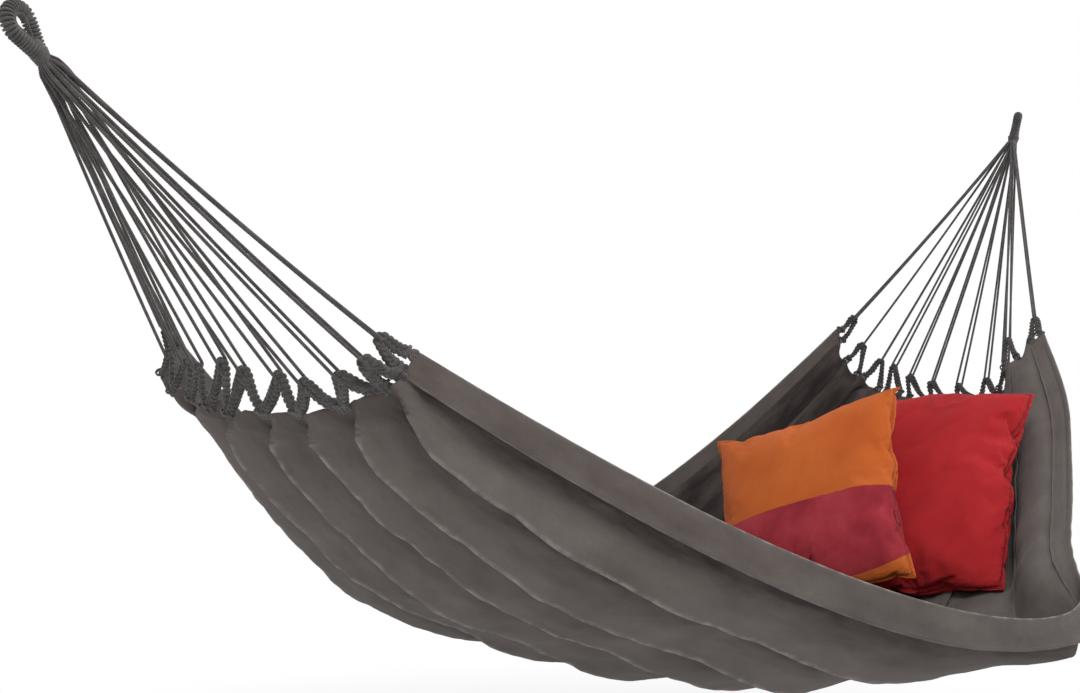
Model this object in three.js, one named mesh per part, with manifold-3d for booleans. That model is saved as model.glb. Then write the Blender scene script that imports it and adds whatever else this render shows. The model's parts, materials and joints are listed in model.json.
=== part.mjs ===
// Cloth hammock that hangs from two end loops, with two loose cushions lying in its far half.
// Millimetres, +Z up, the hammock's length along X. The origin is where the near hook bears,
// inside the top of the near end loop.

import * as THREE from 'three';
import Module from 'manifold-3d';
import { mergeVertices } from 'three/addons/utils/BufferGeometryUtils.js';

// How it hangs: the necks are where each fan of cords is bound together
const neckSpan = 2530;
const nearNeckRise = 988;
const farNeckRise = 1074;
const swingLimit = THREE.MathUtils.degToRad(35);
const fanDrop = THREE.MathUtils.degToRad(45);

// The bed's four corners and the lowest point of each end edge.
// Reach is along X from mid-span, half is half the width there, rise is above the bed's lowest line.
const nearCorner = { reach: 869, half: 272, shift: 10, rise: 625 };
const farCorner = { reach: 937, half: 251, shift: 10, rise: 633 };
const nearDip = { reach: 923, rise: 527 };
const farDip = { reach: 960, rise: 473 };

// The bed at its widest: the two side edges sag and bow out
const nearSideBow = 650;
const nearSideRise = 178;
const offSideBow = 622;
const offSideRise = 121;
const sideLowX = 211;
const bellyLowX = 110;
const sideSagPower = 1.605;
const sideBowPower = 1.22;
const bellyPower = 2.19;
const sectionPower = 0.68;
const powerEase = 0.22;

// Cloth, side hems and pleats
const clothThick = 1.2;
const hemThick = 4;
const hemWidth = 55;
const hemEndWidth = 40;
const pleatCount = 10;
const pleatDepth = 15;
const pleatMidShare = 0.25;
const pleatFade = 1.6;
const seatGap = 0.3;

// Suspension cords and the twisted braid loops that carry the cloth
const cordDia = 4.4;
const cordPitch = 4.85;
const braidDia = 9.5;
const braidLength = 62;
const braidSlack = 1;
const hemFootHalf = 12;
const bundleStraight = 9;

// End loops: a teardrop of rope, a wound serving over it and a whipping round its neck
const loopTwist = THREE.MathUtils.degToRad(28);
const loopLean = THREE.MathUtils.degToRad(69);
const loopHeight = 66;
const loopBend = 19;
const loopRoot = 14;
const loopCoreRadius = 7.5;
const servingDia = 2.4;
const servingTurns = 15;
const servingLift = 0.85;
const pivotBall = 6;
const neckLowRadius = 8.5;
const neckHighRadius = 14.5;
const neckHeight = 22;
const whippingDia = 2.4;
const whippingTurns = 5;
const whippingPitch = 3.1;

// Cushions: square, crowned, with sides drawn in between the corners
const cushionSize = 430;
const cushionCrown = 62;
const cushionDrawIn = 0.055;
const cushionEdgePower = 0.55;
const coverThick = 1.6;
const fillingGap = 0.8;
const zipLength = 280;
const zipGap = 3;
const zipDepth = 16;

// Where each cushion's middle lies, back along X from the far dip, aside along Y and up from the bed's
// lowest line. It leans back by lean, is turned about Z by turn and about its own middle by roll, and
// goes straight out of the bed at the angle out, from +X up, without touching the other one.
const orangePlace = { back: 498, aside: 5, rise: 277, lean: 63.5, turn: 0.5, roll: 22, out: 107 };
const redPlace = { back: 352, aside: -147, rise: 309, lean: 58.5, turn: -0.5, roll: 9, out: 63 };
const settleStart = 60;
const settleReach = 150;
const settleSteps = 60;

// How finely the faceted solids are cut
const bedSteps = 14;
const cellsPerPleat = 4;
const sectionSamples = 96;
const slopeStep = 0.004;
const cordSides = 5;
const braidSides = 5;
const braidArcSteps = 5;
const bightArcSteps = 6;
const windSides = 4;
const windSteps = 9;
const coreSides = 8;
const coreRings = 26;
const ballSteps = 3;
const neckSides = 16;
const cushionCells = 12;
const weldReach = 1e-4;

const wasm = await Module();
wasm.setup();

const cloth = new THREE.MeshStandardMaterial({ color: '#5b5450', roughness: 0.95 });
const cordage = new THREE.MeshStandardMaterial({ color: '#56504d', roughness: 0.9 });
const fillingFibre = new THREE.MeshStandardMaterial({ color: '#e8e4dc', roughness: 1 });
const orangeCloth = new THREE.MeshStandardMaterial({ color: '#c8692c', roughness: 0.85 });
const redCloth = new THREE.MeshStandardMaterial({ color: '#b3262b', roughness: 0.85 });

const V = (x, y, z) => new THREE.Vector3(x, y, z);
const along = (origin, direction, distance) => origin.clone().addScaledVector(direction, distance);
const lerp = THREE.MathUtils.lerp;

// A power of a signed fraction that starts flat, without the sharp bend that |t|^p has at zero
function easedPower(t, power) {
  const low = powerEase ** power;
  return ((t * t + powerEase * powerEase) ** (power / 2) - low)
    / ((1 + powerEase * powerEase) ** (power / 2) - low);
}

// The bed as a surface: u runs from the near end (-1) to the far end (1)
function sectionFrame(u) {
  const corner = u < 0 ? nearCorner : farCorner;
  const dip = u < 0 ? nearDip : farDip;
  const side = Math.sign(u) || 1;
  const bow = easedPower(u, sideBowPower);
  const sag = easedPower(u, sideSagPower);
  const sideX = sideLowX + Math.abs(u) * (side * corner.reach - sideLowX);
  const bellyX = bellyLowX + Math.abs(u) * (side * dip.reach - bellyLowX);
  const shift = corner.shift * u * u;
  return {
    nearSide: V(sideX, shift - lerp(nearSideBow, corner.half, bow), lerp(nearSideRise, corner.rise, sag)),
    offSide: V(sideX, shift + lerp(offSideBow, corner.half, bow), lerp(offSideRise, corner.rise, sag)),
    belly: V(bellyX, shift, dip.rise * easedPower(u, bellyPower)),
  };
}

// One cross-section of the bed as a chain of points with the length along it
function makeSection(u) {
  const { nearSide, offSide, belly } = sectionFrame(u);
  const middle = nearSide.clone().add(offSide).multiplyScalar(0.5);
  const halfSpan = offSide.clone().sub(nearSide).multiplyScalar(0.5);
  const depth = belly.clone().sub(middle);
  const points = [];
  const lengths = [0];
  for (let i = 0; i <= sectionSamples; i += 1) {
    const angle = Math.PI * (i / sectionSamples - 0.5);
    const sink = Math.max(Math.cos(angle), 0) ** sectionPower;
    points.push(along(along(middle, halfSpan, Math.sin(angle)), depth, sink));
    if (i > 0) lengths.push(lengths[i - 1] + points[i].distanceTo(points[i - 1]));
  }
  return { points, lengths, total: lengths[sectionSamples] };
}

const sectionCache = new Map();
function sectionAt(u) {
  if (!sectionCache.has(u)) sectionCache.set(u, makeSection(u));
  return sectionCache.get(u);
}

// The smooth bed point at a distance along the section from the near side edge
function smoothPoint(u, distance) {
  const { points, lengths, total } = sectionAt(u);
  const wanted = THREE.MathUtils.clamp(distance, 0, total);
  let i = 1;
  while (i < sectionSamples && lengths[i] < wanted) i += 1;
  const share = (wanted - lengths[i - 1]) / (lengths[i] - lengths[i - 1]);
  return points[i - 1].clone().lerp(points[i], share);
}

const hemWidthAt = (u) => lerp(hemWidth, hemEndWidth, u * u);

// The smooth point between the two hems: w runs from the near hem (0) to the off hem (1)
function betweenHems(u, w) {
  const { total } = sectionAt(u);
  const inset = hemWidthAt(u) + seatGap;
  return smoothPoint(u, lerp(inset, total - inset, w));
}

const inwards = (u) => (u > 0 ? u - slopeStep : u + slopeStep);

// Direction along the bed towards the far end, and the upper side's normal
function lengthwise(u, w) {
  const direction = betweenHems(u, w).sub(betweenHems(inwards(u), w)).normalize();
  return u > 0 ? direction : direction.negate();
}

function crosswise(u, w) {
  const low = Math.max(w - slopeStep, 0);
  const high = Math.min(w + slopeStep, 1);
  return betweenHems(u, high).sub(betweenHems(u, low)).normalize();
}

const upperNormal = (u, w) => lengthwise(u, w).cross(crosswise(u, w)).normalize();

// Pleats hang below the smooth bed between the braid loops and fade towards the middle
function pleatDrop(u, w) {
  const fade = lerp(pleatMidShare, 1, Math.abs(u) ** pleatFade);
  return pleatDepth * fade * Math.sin(Math.PI * pleatCount * w) ** 2;
}

const bedPoint = (u, w) => along(betweenHems(u, w), upperNormal(u, w), -pleatDrop(u, w));

// Stations along the bed, closer together towards its gathered ends
const stations = Array.from({ length: bedSteps + 1 }, (_, i) => {
  const even = i / bedSteps - 0.5;
  return even + Math.sin(Math.PI * even) / 2;
});

// Faceted solids from lists of points and faces
function closedGeometry(points, faces) {
  const geometry = new THREE.BufferGeometry();
  const flat = points.flatMap((p) => [p.x, p.y, p.z]);
  geometry.setAttribute('position', new THREE.Float32BufferAttribute(flat, 3));
  geometry.setIndex(faces.flat());
  return geometry;
}

// A skin through rings of points, closed at both ends by a fan about each ring's centre
function skin(rings) {
  const sides = rings[0].length;
  const points = rings.flat();
  const faces = [];
  for (let r = 0; r + 1 < rings.length; r += 1) {
    for (let k = 0; k < sides; k += 1) {
      const a = r * sides + k;
      const b = r * sides + ((k + 1) % sides);
      faces.push([a, b, b + sides], [a, b + sides, a + sides]);
    }
  }
  const last = (rings.length - 1) * sides;
  for (let k = 1; k + 1 < sides; k += 1) {
    faces.push([0, k + 1, k], [last, last + k, last + k + 1]);
  }
  return closedGeometry(points, faces);
}

// A tube through a chain of points, its section carried along without twist
function tube(path, radius, sides, startFace, endFace) {
  const count = path.length;
  const directions = path.map((p, i) => {
    if (i === 0 && startFace) return startFace.clone().normalize();
    if (i === count - 1 && endFace) return endFace.clone().normalize();
    return path[Math.min(i + 1, count - 1)].clone().sub(path[Math.max(i - 1, 0)]).normalize();
  });
  const first = directions[0];
  const steep = Math.abs(first.z) > Math.abs(first.x) + Math.abs(first.y);
  let side = (steep ? V(0, 1, 0) : V(0, 0, 1)).cross(first);
  const rings = path.map((p, i) => {
    side = side.clone().addScaledVector(directions[i], -side.dot(directions[i])).normalize();
    const other = directions[i].clone().cross(side);
    return Array.from({ length: sides }, (_, k) => {
      const angle = (2 * Math.PI * k) / sides;
      return along(along(p, side, radius * Math.cos(angle)), other, radius * Math.sin(angle));
    });
  });
  return skin(rings);
}

// Solids for joining and cutting
function solid(geometry) {
  const bare = geometry.clone();
  bare.deleteAttribute('normal');
  bare.deleteAttribute('uv');
  const merged = mergeVertices(bare, weldReach);
  return new wasm.Manifold(new wasm.Mesh({
    numProp: 3,
    vertProperties: new Float32Array(merged.attributes.position.array),
    triVerts: new Uint32Array(merged.index.array),
  }));
}

function geometryOf(manifold) {
  const mesh = manifold.getMesh();
  const geometry = new THREE.BufferGeometry();
  geometry.setAttribute('position', new THREE.BufferAttribute(mesh.vertProperties, 3));
  geometry.setIndex(new THREE.BufferAttribute(mesh.triVerts, 1));
  return geometry;
}

const group = new THREE.Group();
function place(name, geometry, material) {
  const mesh = new THREE.Mesh(geometry, material);
  mesh.name = name;
  group.add(mesh);
}

// The cloth bed: one thin sheet with an upper and a lower face
function makeBed() {
  const across = pleatCount * cellsPerPleat;
  const upper = [];
  const lower = [];
  for (const u of stations) {
    for (let j = 0; j <= across; j += 1) {
      const w = j / across;
      const middle = bedPoint(u, w);
      const normal = upperNormal(u, w);
      upper.push(along(middle, normal, clothThick / 2));
      lower.push(along(middle, normal, -clothThick / 2));
    }
  }
  const row = across + 1;
  const offset = upper.length;
  const faces = [];
  for (let i = 0; i < bedSteps; i += 1) {
    for (let j = 0; j < across; j += 1) {
      const a = i * row + j;
      const b = a + row;
      const under = offset + a;
      const underNext = offset + b;
      faces.push([a, b, b + 1], [a, b + 1, a + 1]);
      faces.push([under, underNext + 1, underNext], [under, under + 1, underNext + 1]);
    }
  }
  const wall = (a, b) => faces.push([a, b, offset + b], [a, offset + b, offset + a]);
  for (let j = 0; j < across; j += 1) {
    wall(j, j + 1);
    wall(bedSteps * row + j + 1, bedSteps * row + j);
  }
  for (let i = 0; i < bedSteps; i += 1) {
    wall((i + 1) * row, i * row);
    wall(i * row + across, (i + 1) * row + across);
  }
  return closedGeometry([...upper, ...lower], faces);
}

// A side hem: the turned and sewn band along one long edge
function hemSection(u, offHem) {
  const { total } = sectionAt(u);
  const width = hemWidthAt(u);
  const at = (distance) => smoothPoint(u, offHem ? total - distance : distance);
  const edge = at(0);
  const inner = at(width);
  const normal = upperNormal(u, offHem ? 1 : 0);
  return { edge, inner, normal };
}

function makeHem(offHem) {
  const rings = stations.map((u) => {
    const { edge, inner, normal } = hemSection(u, offHem);
    const half = hemThick / 2;
    const corners = [[edge, half], [edge, -half], [inner, -half], [inner, half]];
    const ring = corners.map(([corner, rise]) => along(corner, normal, rise));
    return offHem ? ring.reverse() : ring;
  });
  return skin(rings);
}

// How far a braid's foot stands off for its whole face to clear the cloth's wavy edge
function footLift(u, w, foot, face) {
  const step = 1 / (pleatCount * cellsPerPleat);
  const rises = [-step, step].map((dw) => {
    const edge = bedPoint(u, w + dw).sub(foot);
    return edge.dot(face) * Math.min(braidDia / 2 / edge.length(), 1);
  });
  return seatGap + Math.max(0, ...rises);
}

// Where a braid loop springs from: two feet on the cloth's end edge, and the way it leaves
function braidFeet(end, index) {
  const u = end;
  const onHem = index === 0 || index === pleatCount;
  if (onHem) {
    const offHem = index === pleatCount;
    const { edge, inner } = hemSection(u, offHem);
    const inside = hemSection(inwards(u), offHem);
    const centre = edge.clone().lerp(inner, 0.5);
    const run = inner.clone().sub(edge).normalize();
    const out = centre.clone().sub(inside.edge.clone().lerp(inside.inner, 0.5)).normalize();
    const face = along(out, run, -out.dot(run)).normalize();
    const feet = [-hemFootHalf, hemFootHalf].map((d) => along(along(centre, run, d), face, seatGap));
    return { feet, face, run };
  }
  const step = 1 / (pleatCount * cellsPerPleat);
  const w = index / pleatCount;
  const onEdge = [w - step, w + step].map((foot) => bedPoint(u, foot));
  const run = onEdge[1].clone().sub(onEdge[0]).normalize();
  const out = lengthwise(u, w).multiplyScalar(end);
  const face = along(out, run, -out.dot(run)).normalize();
  const feet = onEdge.map((p, i) => along(p, face, footLift(u, i ? w + step : w - step, p, face)));
  return { feet, face, run };
}

// Angles of a half turn, from a quarter turn before its top to a quarter turn after it
const halfTurn = (steps) => Array.from({ length: steps + 1 }, (_, i) => Math.PI * (i / steps - 0.5));

const loopAxisOf = (end) => V(end * Math.cos(loopLean), 0, Math.sin(loopLean));
const neckOf = (end) => V((end * neckSpan) / 2, 0, end < 0 ? nearNeckRise : farNeckRise);
const fanAxisOf = (end) => V(-end * Math.cos(fanDrop), 0, -Math.sin(fanDrop));

function makeBraid(end, index) {
  const { feet, face, run } = braidFeet(end, index);
  const radius = braidDia / 2;
  const centre = feet[0].clone().lerp(feet[1], 0.5);
  const toNeck = neckOf(end).sub(centre).normalize();
  const spread = along(run, toNeck, -run.dot(toNeck)).normalize();
  const bend = radius + cordDia / 2 + braidSlack;
  const eye = along(centre, toNeck, braidLength - bend);
  const knee = (i) => along(feet[i], face, braidDia);
  const arc = halfTurn(braidArcSteps).map((angle) => (
    along(along(eye, spread, bend * Math.sin(angle)), toNeck, bend * Math.cos(angle))));
  const path = [feet[0], knee(0), ...arc, knee(1), feet[1]];
  const geometry = tube(path, radius, braidSides, face, face.clone().negate());
  return { geometry, eye, toNeck, spread, bend };
}

// Places for the cords side by side in the neck, as close as they pack round the middle
function neckSlots(count) {
  const slots = [];
  const reach = Math.ceil(Math.sqrt(count));
  for (let row = -reach; row <= reach; row += 1) {
    for (let column = -reach; column <= reach; column += 1) {
      const x = (column + (Math.abs(row) % 2) / 2) * cordPitch;
      const y = row * cordPitch * Math.sqrt(0.75);
      slots.push([x, y]);
    }
  }
  slots.sort((a, b) => Math.hypot(...a) - Math.hypot(...b) || a[0] - b[0] || a[1] - b[1]);
  return slots.slice(0, count);
}

// Swap slots while that shortens the cords, which leaves no two crossing
function matchSlots(slots, targets) {
  const order = slots.map((_, i) => i);
  const gain = (i, j) => {
    const slotStep = [0, 1].map((k) => slots[order[i]][k] - slots[order[j]][k]);
    const targetStep = [0, 1].map((k) => targets[i][k] - targets[j][k]);
    return slotStep[0] * targetStep[0] + slotStep[1] * targetStep[1];
  };
  let swapped = true;
  while (swapped) {
    swapped = false;
    for (let i = 0; i < order.length; i += 1) {
      for (let j = i + 1; j < order.length; j += 1) {
        if (gain(i, j) < -weldReach) {
          [order[i], order[j]] = [order[j], order[i]];
          swapped = true;
        }
      }
    }
  }
  return order.map((k) => slots[k]);
}

// One cord runs from the neck round a braid loop's eye and back to the neck
function makeFan(end, label) {
  const neck = neckOf(end);
  const axis = fanAxisOf(end);
  const sideways = V(0, 1, 0);
  const upwards = axis.clone().cross(sideways).normalize();
  const braids = Array.from({ length: pleatCount + 1 }, (_, i) => makeBraid(end, i));
  const bightRadius = (braidDia + cordDia) / 2 + seatGap;
  const bights = braids.map(({ eye, toNeck, spread, bend }) => {
    const normal = spread.clone().cross(toNeck).normalize();
    return { centre: along(eye, toNeck, bend), toNeck, normal };
  });
  const ends = bights.flatMap(({ centre, normal }) => (
    [-1, 1].map((s) => along(centre, normal, s * bightRadius))));
  const flat = ends.map((p) => {
    const fromNeck = p.clone().sub(neck);
    return [fromNeck.dot(sideways), fromNeck.dot(upwards)];
  });
  const slots = matchSlots(neckSlots(ends.length), flat);
  const slotPoint = (k, depth) => {
    const [aside, up] = slots[k];
    return along(along(along(neck, sideways, aside), upwards, up), axis, depth);
  };
  const top = pivotBall + seatGap;
  bights.forEach(({ centre, toNeck, normal }, i) => {
    const arc = halfTurn(bightArcSteps).map((angle) => (
      along(along(centre, normal, bightRadius * Math.sin(angle)), toNeck, -bightRadius * Math.cos(angle))));
    const [a, b] = [2 * i, 2 * i + 1];
    const path = [slotPoint(a, top), slotPoint(a, top + bundleStraight), ...arc,
      slotPoint(b, top + bundleStraight), slotPoint(b, top)];
    const number = String(i + 1).padStart(2, '0');
    place(`${label}_braid_loop_${number}`, braids[i].geometry, cordage);
    const cord = tube(path, cordDia / 2, cordSides, axis, axis.clone().negate());
    place(`${label}_cord_${number}`, cord, cordage);
  });
  return Math.max(...slots.map((s) => Math.hypot(...s))) + cordDia / 2;
}

// The centreline of an end loop: h is the height along the loop's axis, r is sideways in its plane
const crownHeight = loopHeight - loopBend;
const rootAngle = Math.asin(loopBend / (crownHeight - loopRoot));
const straightRun = (crownHeight - loopRoot) * Math.cos(rootAngle);
const archRun = loopBend * (Math.PI + 2 * rootAngle);

function loopPoint(distance) {
  const fromMiddle = distance - (straightRun + archRun / 2);
  const side = Math.sign(fromMiddle) || 1;
  const run = Math.abs(fromMiddle);
  if (run <= archRun / 2) {
    const angle = run / loopBend;
    const outR = side * Math.sin(angle);
    const outH = Math.cos(angle);
    return { r: loopBend * outR, h: crownHeight + loopBend * outH, outR, outH };
  }
  const left = straightRun - (run - archRun / 2);
  const outR = side * Math.cos(rootAngle);
  const outH = -Math.sin(rootAngle);
  return { r: -side * left * outH, h: loopRoot + side * left * outR, outR, outH };
}

// The least gap between a wound cord's turns, on its points and halfway between them. Points closer
// along the cord than most of a turn are the same turn.
const nextTurnShare = 0.75;
function leastGap(path, stepsPerTurn, diameter) {
  let least = Infinity;
  for (let i = 0; i < path.length; i += 1) {
    for (let j = i + Math.floor(stepsPerTurn * nextTurnShare); j < path.length; j += 1) {
      for (const t of [0, 0.5]) {
        const p = path[i].clone().lerp(path[Math.min(i + 1, path.length - 1)], t);
        const q = path[j].clone().lerp(path[Math.min(j + 1, path.length - 1)], t);
        least = Math.min(least, p.distanceTo(q));
      }
    }
  }
  return least - diameter;
}

function makeEndLoop(end, label, bundleRadius) {
  const neck = neckOf(end);
  const axis = loopAxisOf(end);
  const flatAcross = V(Math.cos(loopTwist), Math.sin(loopTwist), 0);
  const across = along(flatAcross, axis, -flatAcross.dot(axis)).normalize();
  const depth = axis.clone().cross(across).normalize();
  const spot = (r, h, d) => along(along(along(neck, across, r), axis, h), depth, d);

  // The whipping starts far enough up that the fan of cords swings clear below it
  const swungFan = fanAxisOf(end).applyAxisAngle(V(1, 0, 0), swingLimit);
  const swingTilt = Math.acos(-axis.dot(swungFan));
  const fanTop = bundleRadius * Math.sin(swingTilt) - (pivotBall + seatGap) * Math.cos(swingTilt);
  const neckLow = Math.max(fanTop, 0) + 2 * seatGap;

  // The rope core: a teardrop with a solid neck and a rounded foot that the fan pivots on
  const ropeRing = () => {
    const points = [];
    for (let i = 0; i < coreRings; i += 1) {
      const p = loopPoint(((2 * straightRun + archRun) * i) / coreRings);
      const [outR, outH] = i === 0 ? [0, -1] : [p.outR, p.outH];
      for (let k = 0; k < coreSides; k += 1) {
        const angle = (2 * Math.PI * k) / coreSides;
        const out = loopCoreRadius * Math.cos(angle);
        points.push(spot(p.r + out * outR, p.h + out * outH, loopCoreRadius * Math.sin(angle)));
      }
    }
    const faces = [];
    for (let i = 0; i < coreRings; i += 1) {
      for (let k = 0; k < coreSides; k += 1) {
        const next = ((i + 1) % coreRings) * coreSides;
        const beside = (k + 1) % coreSides;
        const a = i * coreSides + k;
        const b = i * coreSides + beside;
        faces.push([a, next + beside, b], [a, next + k, next + beside]);
      }
    }
    return closedGeometry(points, faces);
  };
  const profile = [];
  for (let i = 0; i <= ballSteps; i += 1) {
    const angle = (Math.PI / 2) * (i / ballSteps);
    profile.push([pivotBall * Math.sin(angle), -pivotBall * Math.cos(angle)]);
  }
  profile.push([pivotBall, neckLow], [neckLowRadius, neckLow]);
  profile.push([neckHighRadius, neckHeight], [0, neckHeight]);
  const neckShape = new THREE.LatheGeometry(profile.map(([r, h]) => new THREE.Vector2(r, h)), neckSides);
  const basis = new THREE.Matrix4().makeBasis(across, axis, across.clone().cross(axis));
  neckShape.applyMatrix4(basis);
  neckShape.translate(neck.x, neck.y, neck.z);
  const core = solid(ropeRing()).add(solid(neckShape));
  place(`${label}_loop_core`, geometryOf(core), cordage);

  // The serving: one cord wound round the rope, from one side of the neck over to the other
  const windRadius = loopCoreRadius + servingLift + servingDia / 2;
  const clearOfOther = (windRadius + servingDia) / Math.sin(rootAngle);
  const served = 2 * straightRun + archRun - 2 * clearOfOther;
  const steps = servingTurns * windSteps;
  const serving = Array.from({ length: steps + 1 }, (_, i) => {
    const p = loopPoint(clearOfOther + (served * i) / steps);
    const angle = (2 * Math.PI * i) / windSteps;
    const out = windRadius * Math.cos(angle);
    return spot(p.r + out * p.outR, p.h + out * p.outH, windRadius * Math.sin(angle));
  });
  place(`${label}_loop_serving`, tube(serving, servingDia / 2, windSides), cordage);

  // The whipping: a cord wound round the neck, which widens upwards
  const whipSteps = whippingTurns * windSteps;
  const slope = (neckHighRadius - neckLowRadius) / (neckHeight - neckLow);
  const whipping = Array.from({ length: whipSteps + 1 }, (_, i) => {
    const h = neckLow + whippingDia / 2 + seatGap + (whippingPitch * i) / windSteps;
    const neckRadius = neckLowRadius + slope * (h - neckLow);
    const radius = (neckRadius + whippingDia / 2 + servingLift) / Math.cos(Math.PI / windSteps);
    const angle = (2 * Math.PI * i) / windSteps;
    return spot(radius * Math.cos(angle), h, radius * Math.sin(angle));
  });
  place(`${label}_neck_whipping`, tube(whipping, whippingDia / 2, windSides), cordage);
  console.log(`${label} serving least gap ${leastGap(serving, windSteps, servingDia).toFixed(2)} mm`);
  console.log(`${label} whipping least gap ${leastGap(whipping, windSteps, whippingDia).toFixed(2)} mm`);
  return spot(0, loopHeight - loopCoreRadius - servingLift - servingDia, 0);
}

// A crowned square pad: inset draws its crowned faces in by that much, and its thin edges further
const edgeInsetShare = 3;
function pad(inset) {
  const half = cushionSize / 2 - inset * edgeInsetShare;
  const crown = cushionCrown - inset;
  const upper = [];
  const lower = [];
  for (let i = 0; i <= cushionCells; i += 1) {
    for (let j = 0; j <= cushionCells; j += 1) {
      const a = Math.sin(Math.PI * (i / cushionCells - 0.5));
      const b = Math.sin(Math.PI * (j / cushionCells - 0.5));
      const x = half * a * (1 - cushionDrawIn * (1 - b * b));
      const y = half * b * (1 - cushionDrawIn * (1 - a * a));
      const swell = Math.max(Math.cos((Math.PI * a) / 2), 0) * Math.max(Math.cos((Math.PI * b) / 2), 0);
      const rise = crown * swell ** cushionEdgePower;
      upper.push(V(x, y, rise));
      lower.push(V(x, y, -rise));
    }
  }
  const row = cushionCells + 1;
  const onEdge = (i, j) => i === 0 || j === 0 || i === cushionCells || j === cushionCells;
  const low = (i, j) => (onEdge(i, j) ? i * row + j : upper.length + i * row + j);
  const faces = [];
  for (let i = 0; i < cushionCells; i += 1) {
    for (let j = 0; j < cushionCells; j += 1) {
      const [a, b, c, d] = [[i, j], [i + 1, j], [i + 1, j + 1], [i, j + 1]];
      const top = (p) => p[0] * row + p[1];
      faces.push([top(a), top(b), top(c)], [top(a), top(c), top(d)]);
      faces.push([low(...a), low(...c), low(...b)], [low(...a), low(...d), low(...c)]);
    }
  }
  return closedGeometry([...upper, ...lower], faces);
}

// Let a cushion down along its way out until it just rests on what lies under it
function settle(matrix, out, supports) {
  const raised = (height) => {
    const lift = new THREE.Matrix4().makeTranslation(out.clone().multiplyScalar(height));
    return matrix.clone().premultiply(lift);
  };
  let height = settleStart;
  for (let i = 0; i < settleSteps; i += 1) {
    const body = solid(pad(0).applyMatrix4(raised(height)));
    height -= Math.min(...supports.map((support) => body.minGap(support, settleReach))) - seatGap;
  }
  return raised(height);
}

// A cushion's own frame before it settles: right, up the slope, and out of its upper face
function cushionFrame(where) {
  const [lean, turn, roll] = [where.lean, where.turn, where.roll].map(THREE.MathUtils.degToRad);
  const aside = V(0, -1, 0);
  const upSlope = V(Math.cos(lean), 0, Math.sin(lean));
  const right = along(aside.clone().multiplyScalar(Math.cos(roll)), upSlope, Math.sin(roll));
  const up = along(upSlope.clone().multiplyScalar(Math.cos(roll)), aside, -Math.sin(roll));
  const frame = new THREE.Matrix4().makeBasis(right, up, right.clone().cross(up));
  frame.premultiply(new THREE.Matrix4().makeRotationZ(turn));
  return frame.setPosition(V(farDip.reach - where.back, where.aside, where.rise));
}

function makeCushion(label, where, material, supports) {
  const out = THREE.MathUtils.degToRad(where.out);
  const matrix = settle(cushionFrame(where), V(Math.cos(out), 0, Math.sin(out)), supports);
  const zip = new THREE.BoxGeometry(zipLength, zipDepth * 2, zipGap);
  zip.translate(0, -cushionSize / 2 * (1 - cushionDrawIn), 0);
  const cover = solid(pad(0)).subtract(solid(pad(coverThick))).subtract(solid(zip));
  place(`${label}_cushion_cover`, geometryOf(cover).applyMatrix4(matrix), material);
  place(`${label}_cushion_filling`, pad(coverThick + fillingGap).applyMatrix4(matrix), fillingFibre);
  return solid(pad(0).applyMatrix4(matrix));
}

const bedShape = makeBed();
const hemShapes = [makeHem(false), makeHem(true)];
place('cloth_bed', bedShape, cloth);
place('near_side_hem', hemShapes[0], cloth);
place('off_side_hem', hemShapes[1], cloth);
const nearBundle = makeFan(-1, 'near');
const farBundle = makeFan(1, 'far');
const hookPoint = makeEndLoop(-1, 'near', nearBundle);
makeEndLoop(1, 'far', farBundle);
const under = [bedShape, ...hemShapes].map(solid);
const redBody = makeCushion('red', redPlace, redCloth, under);
makeCushion('orange', orangePlace, orangeCloth, [...under, redBody]);

group.position.copy(hookPoint).negate();

export default group;
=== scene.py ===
"""Cloth hammock with served end loops, laid suspension cords, plaited braid loops and two cushions.

Metres, +Z up, the hammock's length along X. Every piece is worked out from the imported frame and
from the dimensions below. The bed's corners and curves are those of the frame's solids. The drape
of its near side, the folds, the cords' thickness and the braid loops' places are its own.
"""

import json
import math

import bpy
import numpy as np
from mathutils import Matrix, Vector, noise


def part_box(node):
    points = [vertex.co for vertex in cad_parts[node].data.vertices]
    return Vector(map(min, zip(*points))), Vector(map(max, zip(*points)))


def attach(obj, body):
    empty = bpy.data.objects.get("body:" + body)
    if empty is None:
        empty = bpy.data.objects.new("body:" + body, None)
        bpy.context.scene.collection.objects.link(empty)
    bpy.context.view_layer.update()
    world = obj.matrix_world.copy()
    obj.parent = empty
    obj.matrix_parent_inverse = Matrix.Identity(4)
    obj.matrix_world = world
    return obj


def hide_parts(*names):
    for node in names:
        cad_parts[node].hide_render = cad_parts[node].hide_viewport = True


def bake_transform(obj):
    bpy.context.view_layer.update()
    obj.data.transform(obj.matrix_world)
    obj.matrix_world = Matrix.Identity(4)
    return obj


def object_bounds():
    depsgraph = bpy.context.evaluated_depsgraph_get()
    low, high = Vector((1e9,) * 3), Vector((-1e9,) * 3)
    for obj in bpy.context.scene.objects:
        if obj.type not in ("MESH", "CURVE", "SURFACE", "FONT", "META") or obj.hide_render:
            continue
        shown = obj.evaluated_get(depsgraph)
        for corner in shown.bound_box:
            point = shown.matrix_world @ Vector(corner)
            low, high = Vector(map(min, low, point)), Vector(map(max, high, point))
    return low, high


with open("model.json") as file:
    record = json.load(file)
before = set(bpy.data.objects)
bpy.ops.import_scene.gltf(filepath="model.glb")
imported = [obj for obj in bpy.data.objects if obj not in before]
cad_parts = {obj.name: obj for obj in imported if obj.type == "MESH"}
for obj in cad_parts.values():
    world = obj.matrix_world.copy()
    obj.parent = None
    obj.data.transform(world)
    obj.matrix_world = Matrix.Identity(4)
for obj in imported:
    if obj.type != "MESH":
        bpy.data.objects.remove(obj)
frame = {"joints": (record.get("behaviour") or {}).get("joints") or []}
cad_low, cad_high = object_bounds()

MM = 0.001
UP = np.array([0.0, 0.0, 1.0])
SIDEWAYS = np.array([0.0, 1.0, 0.0])

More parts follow.
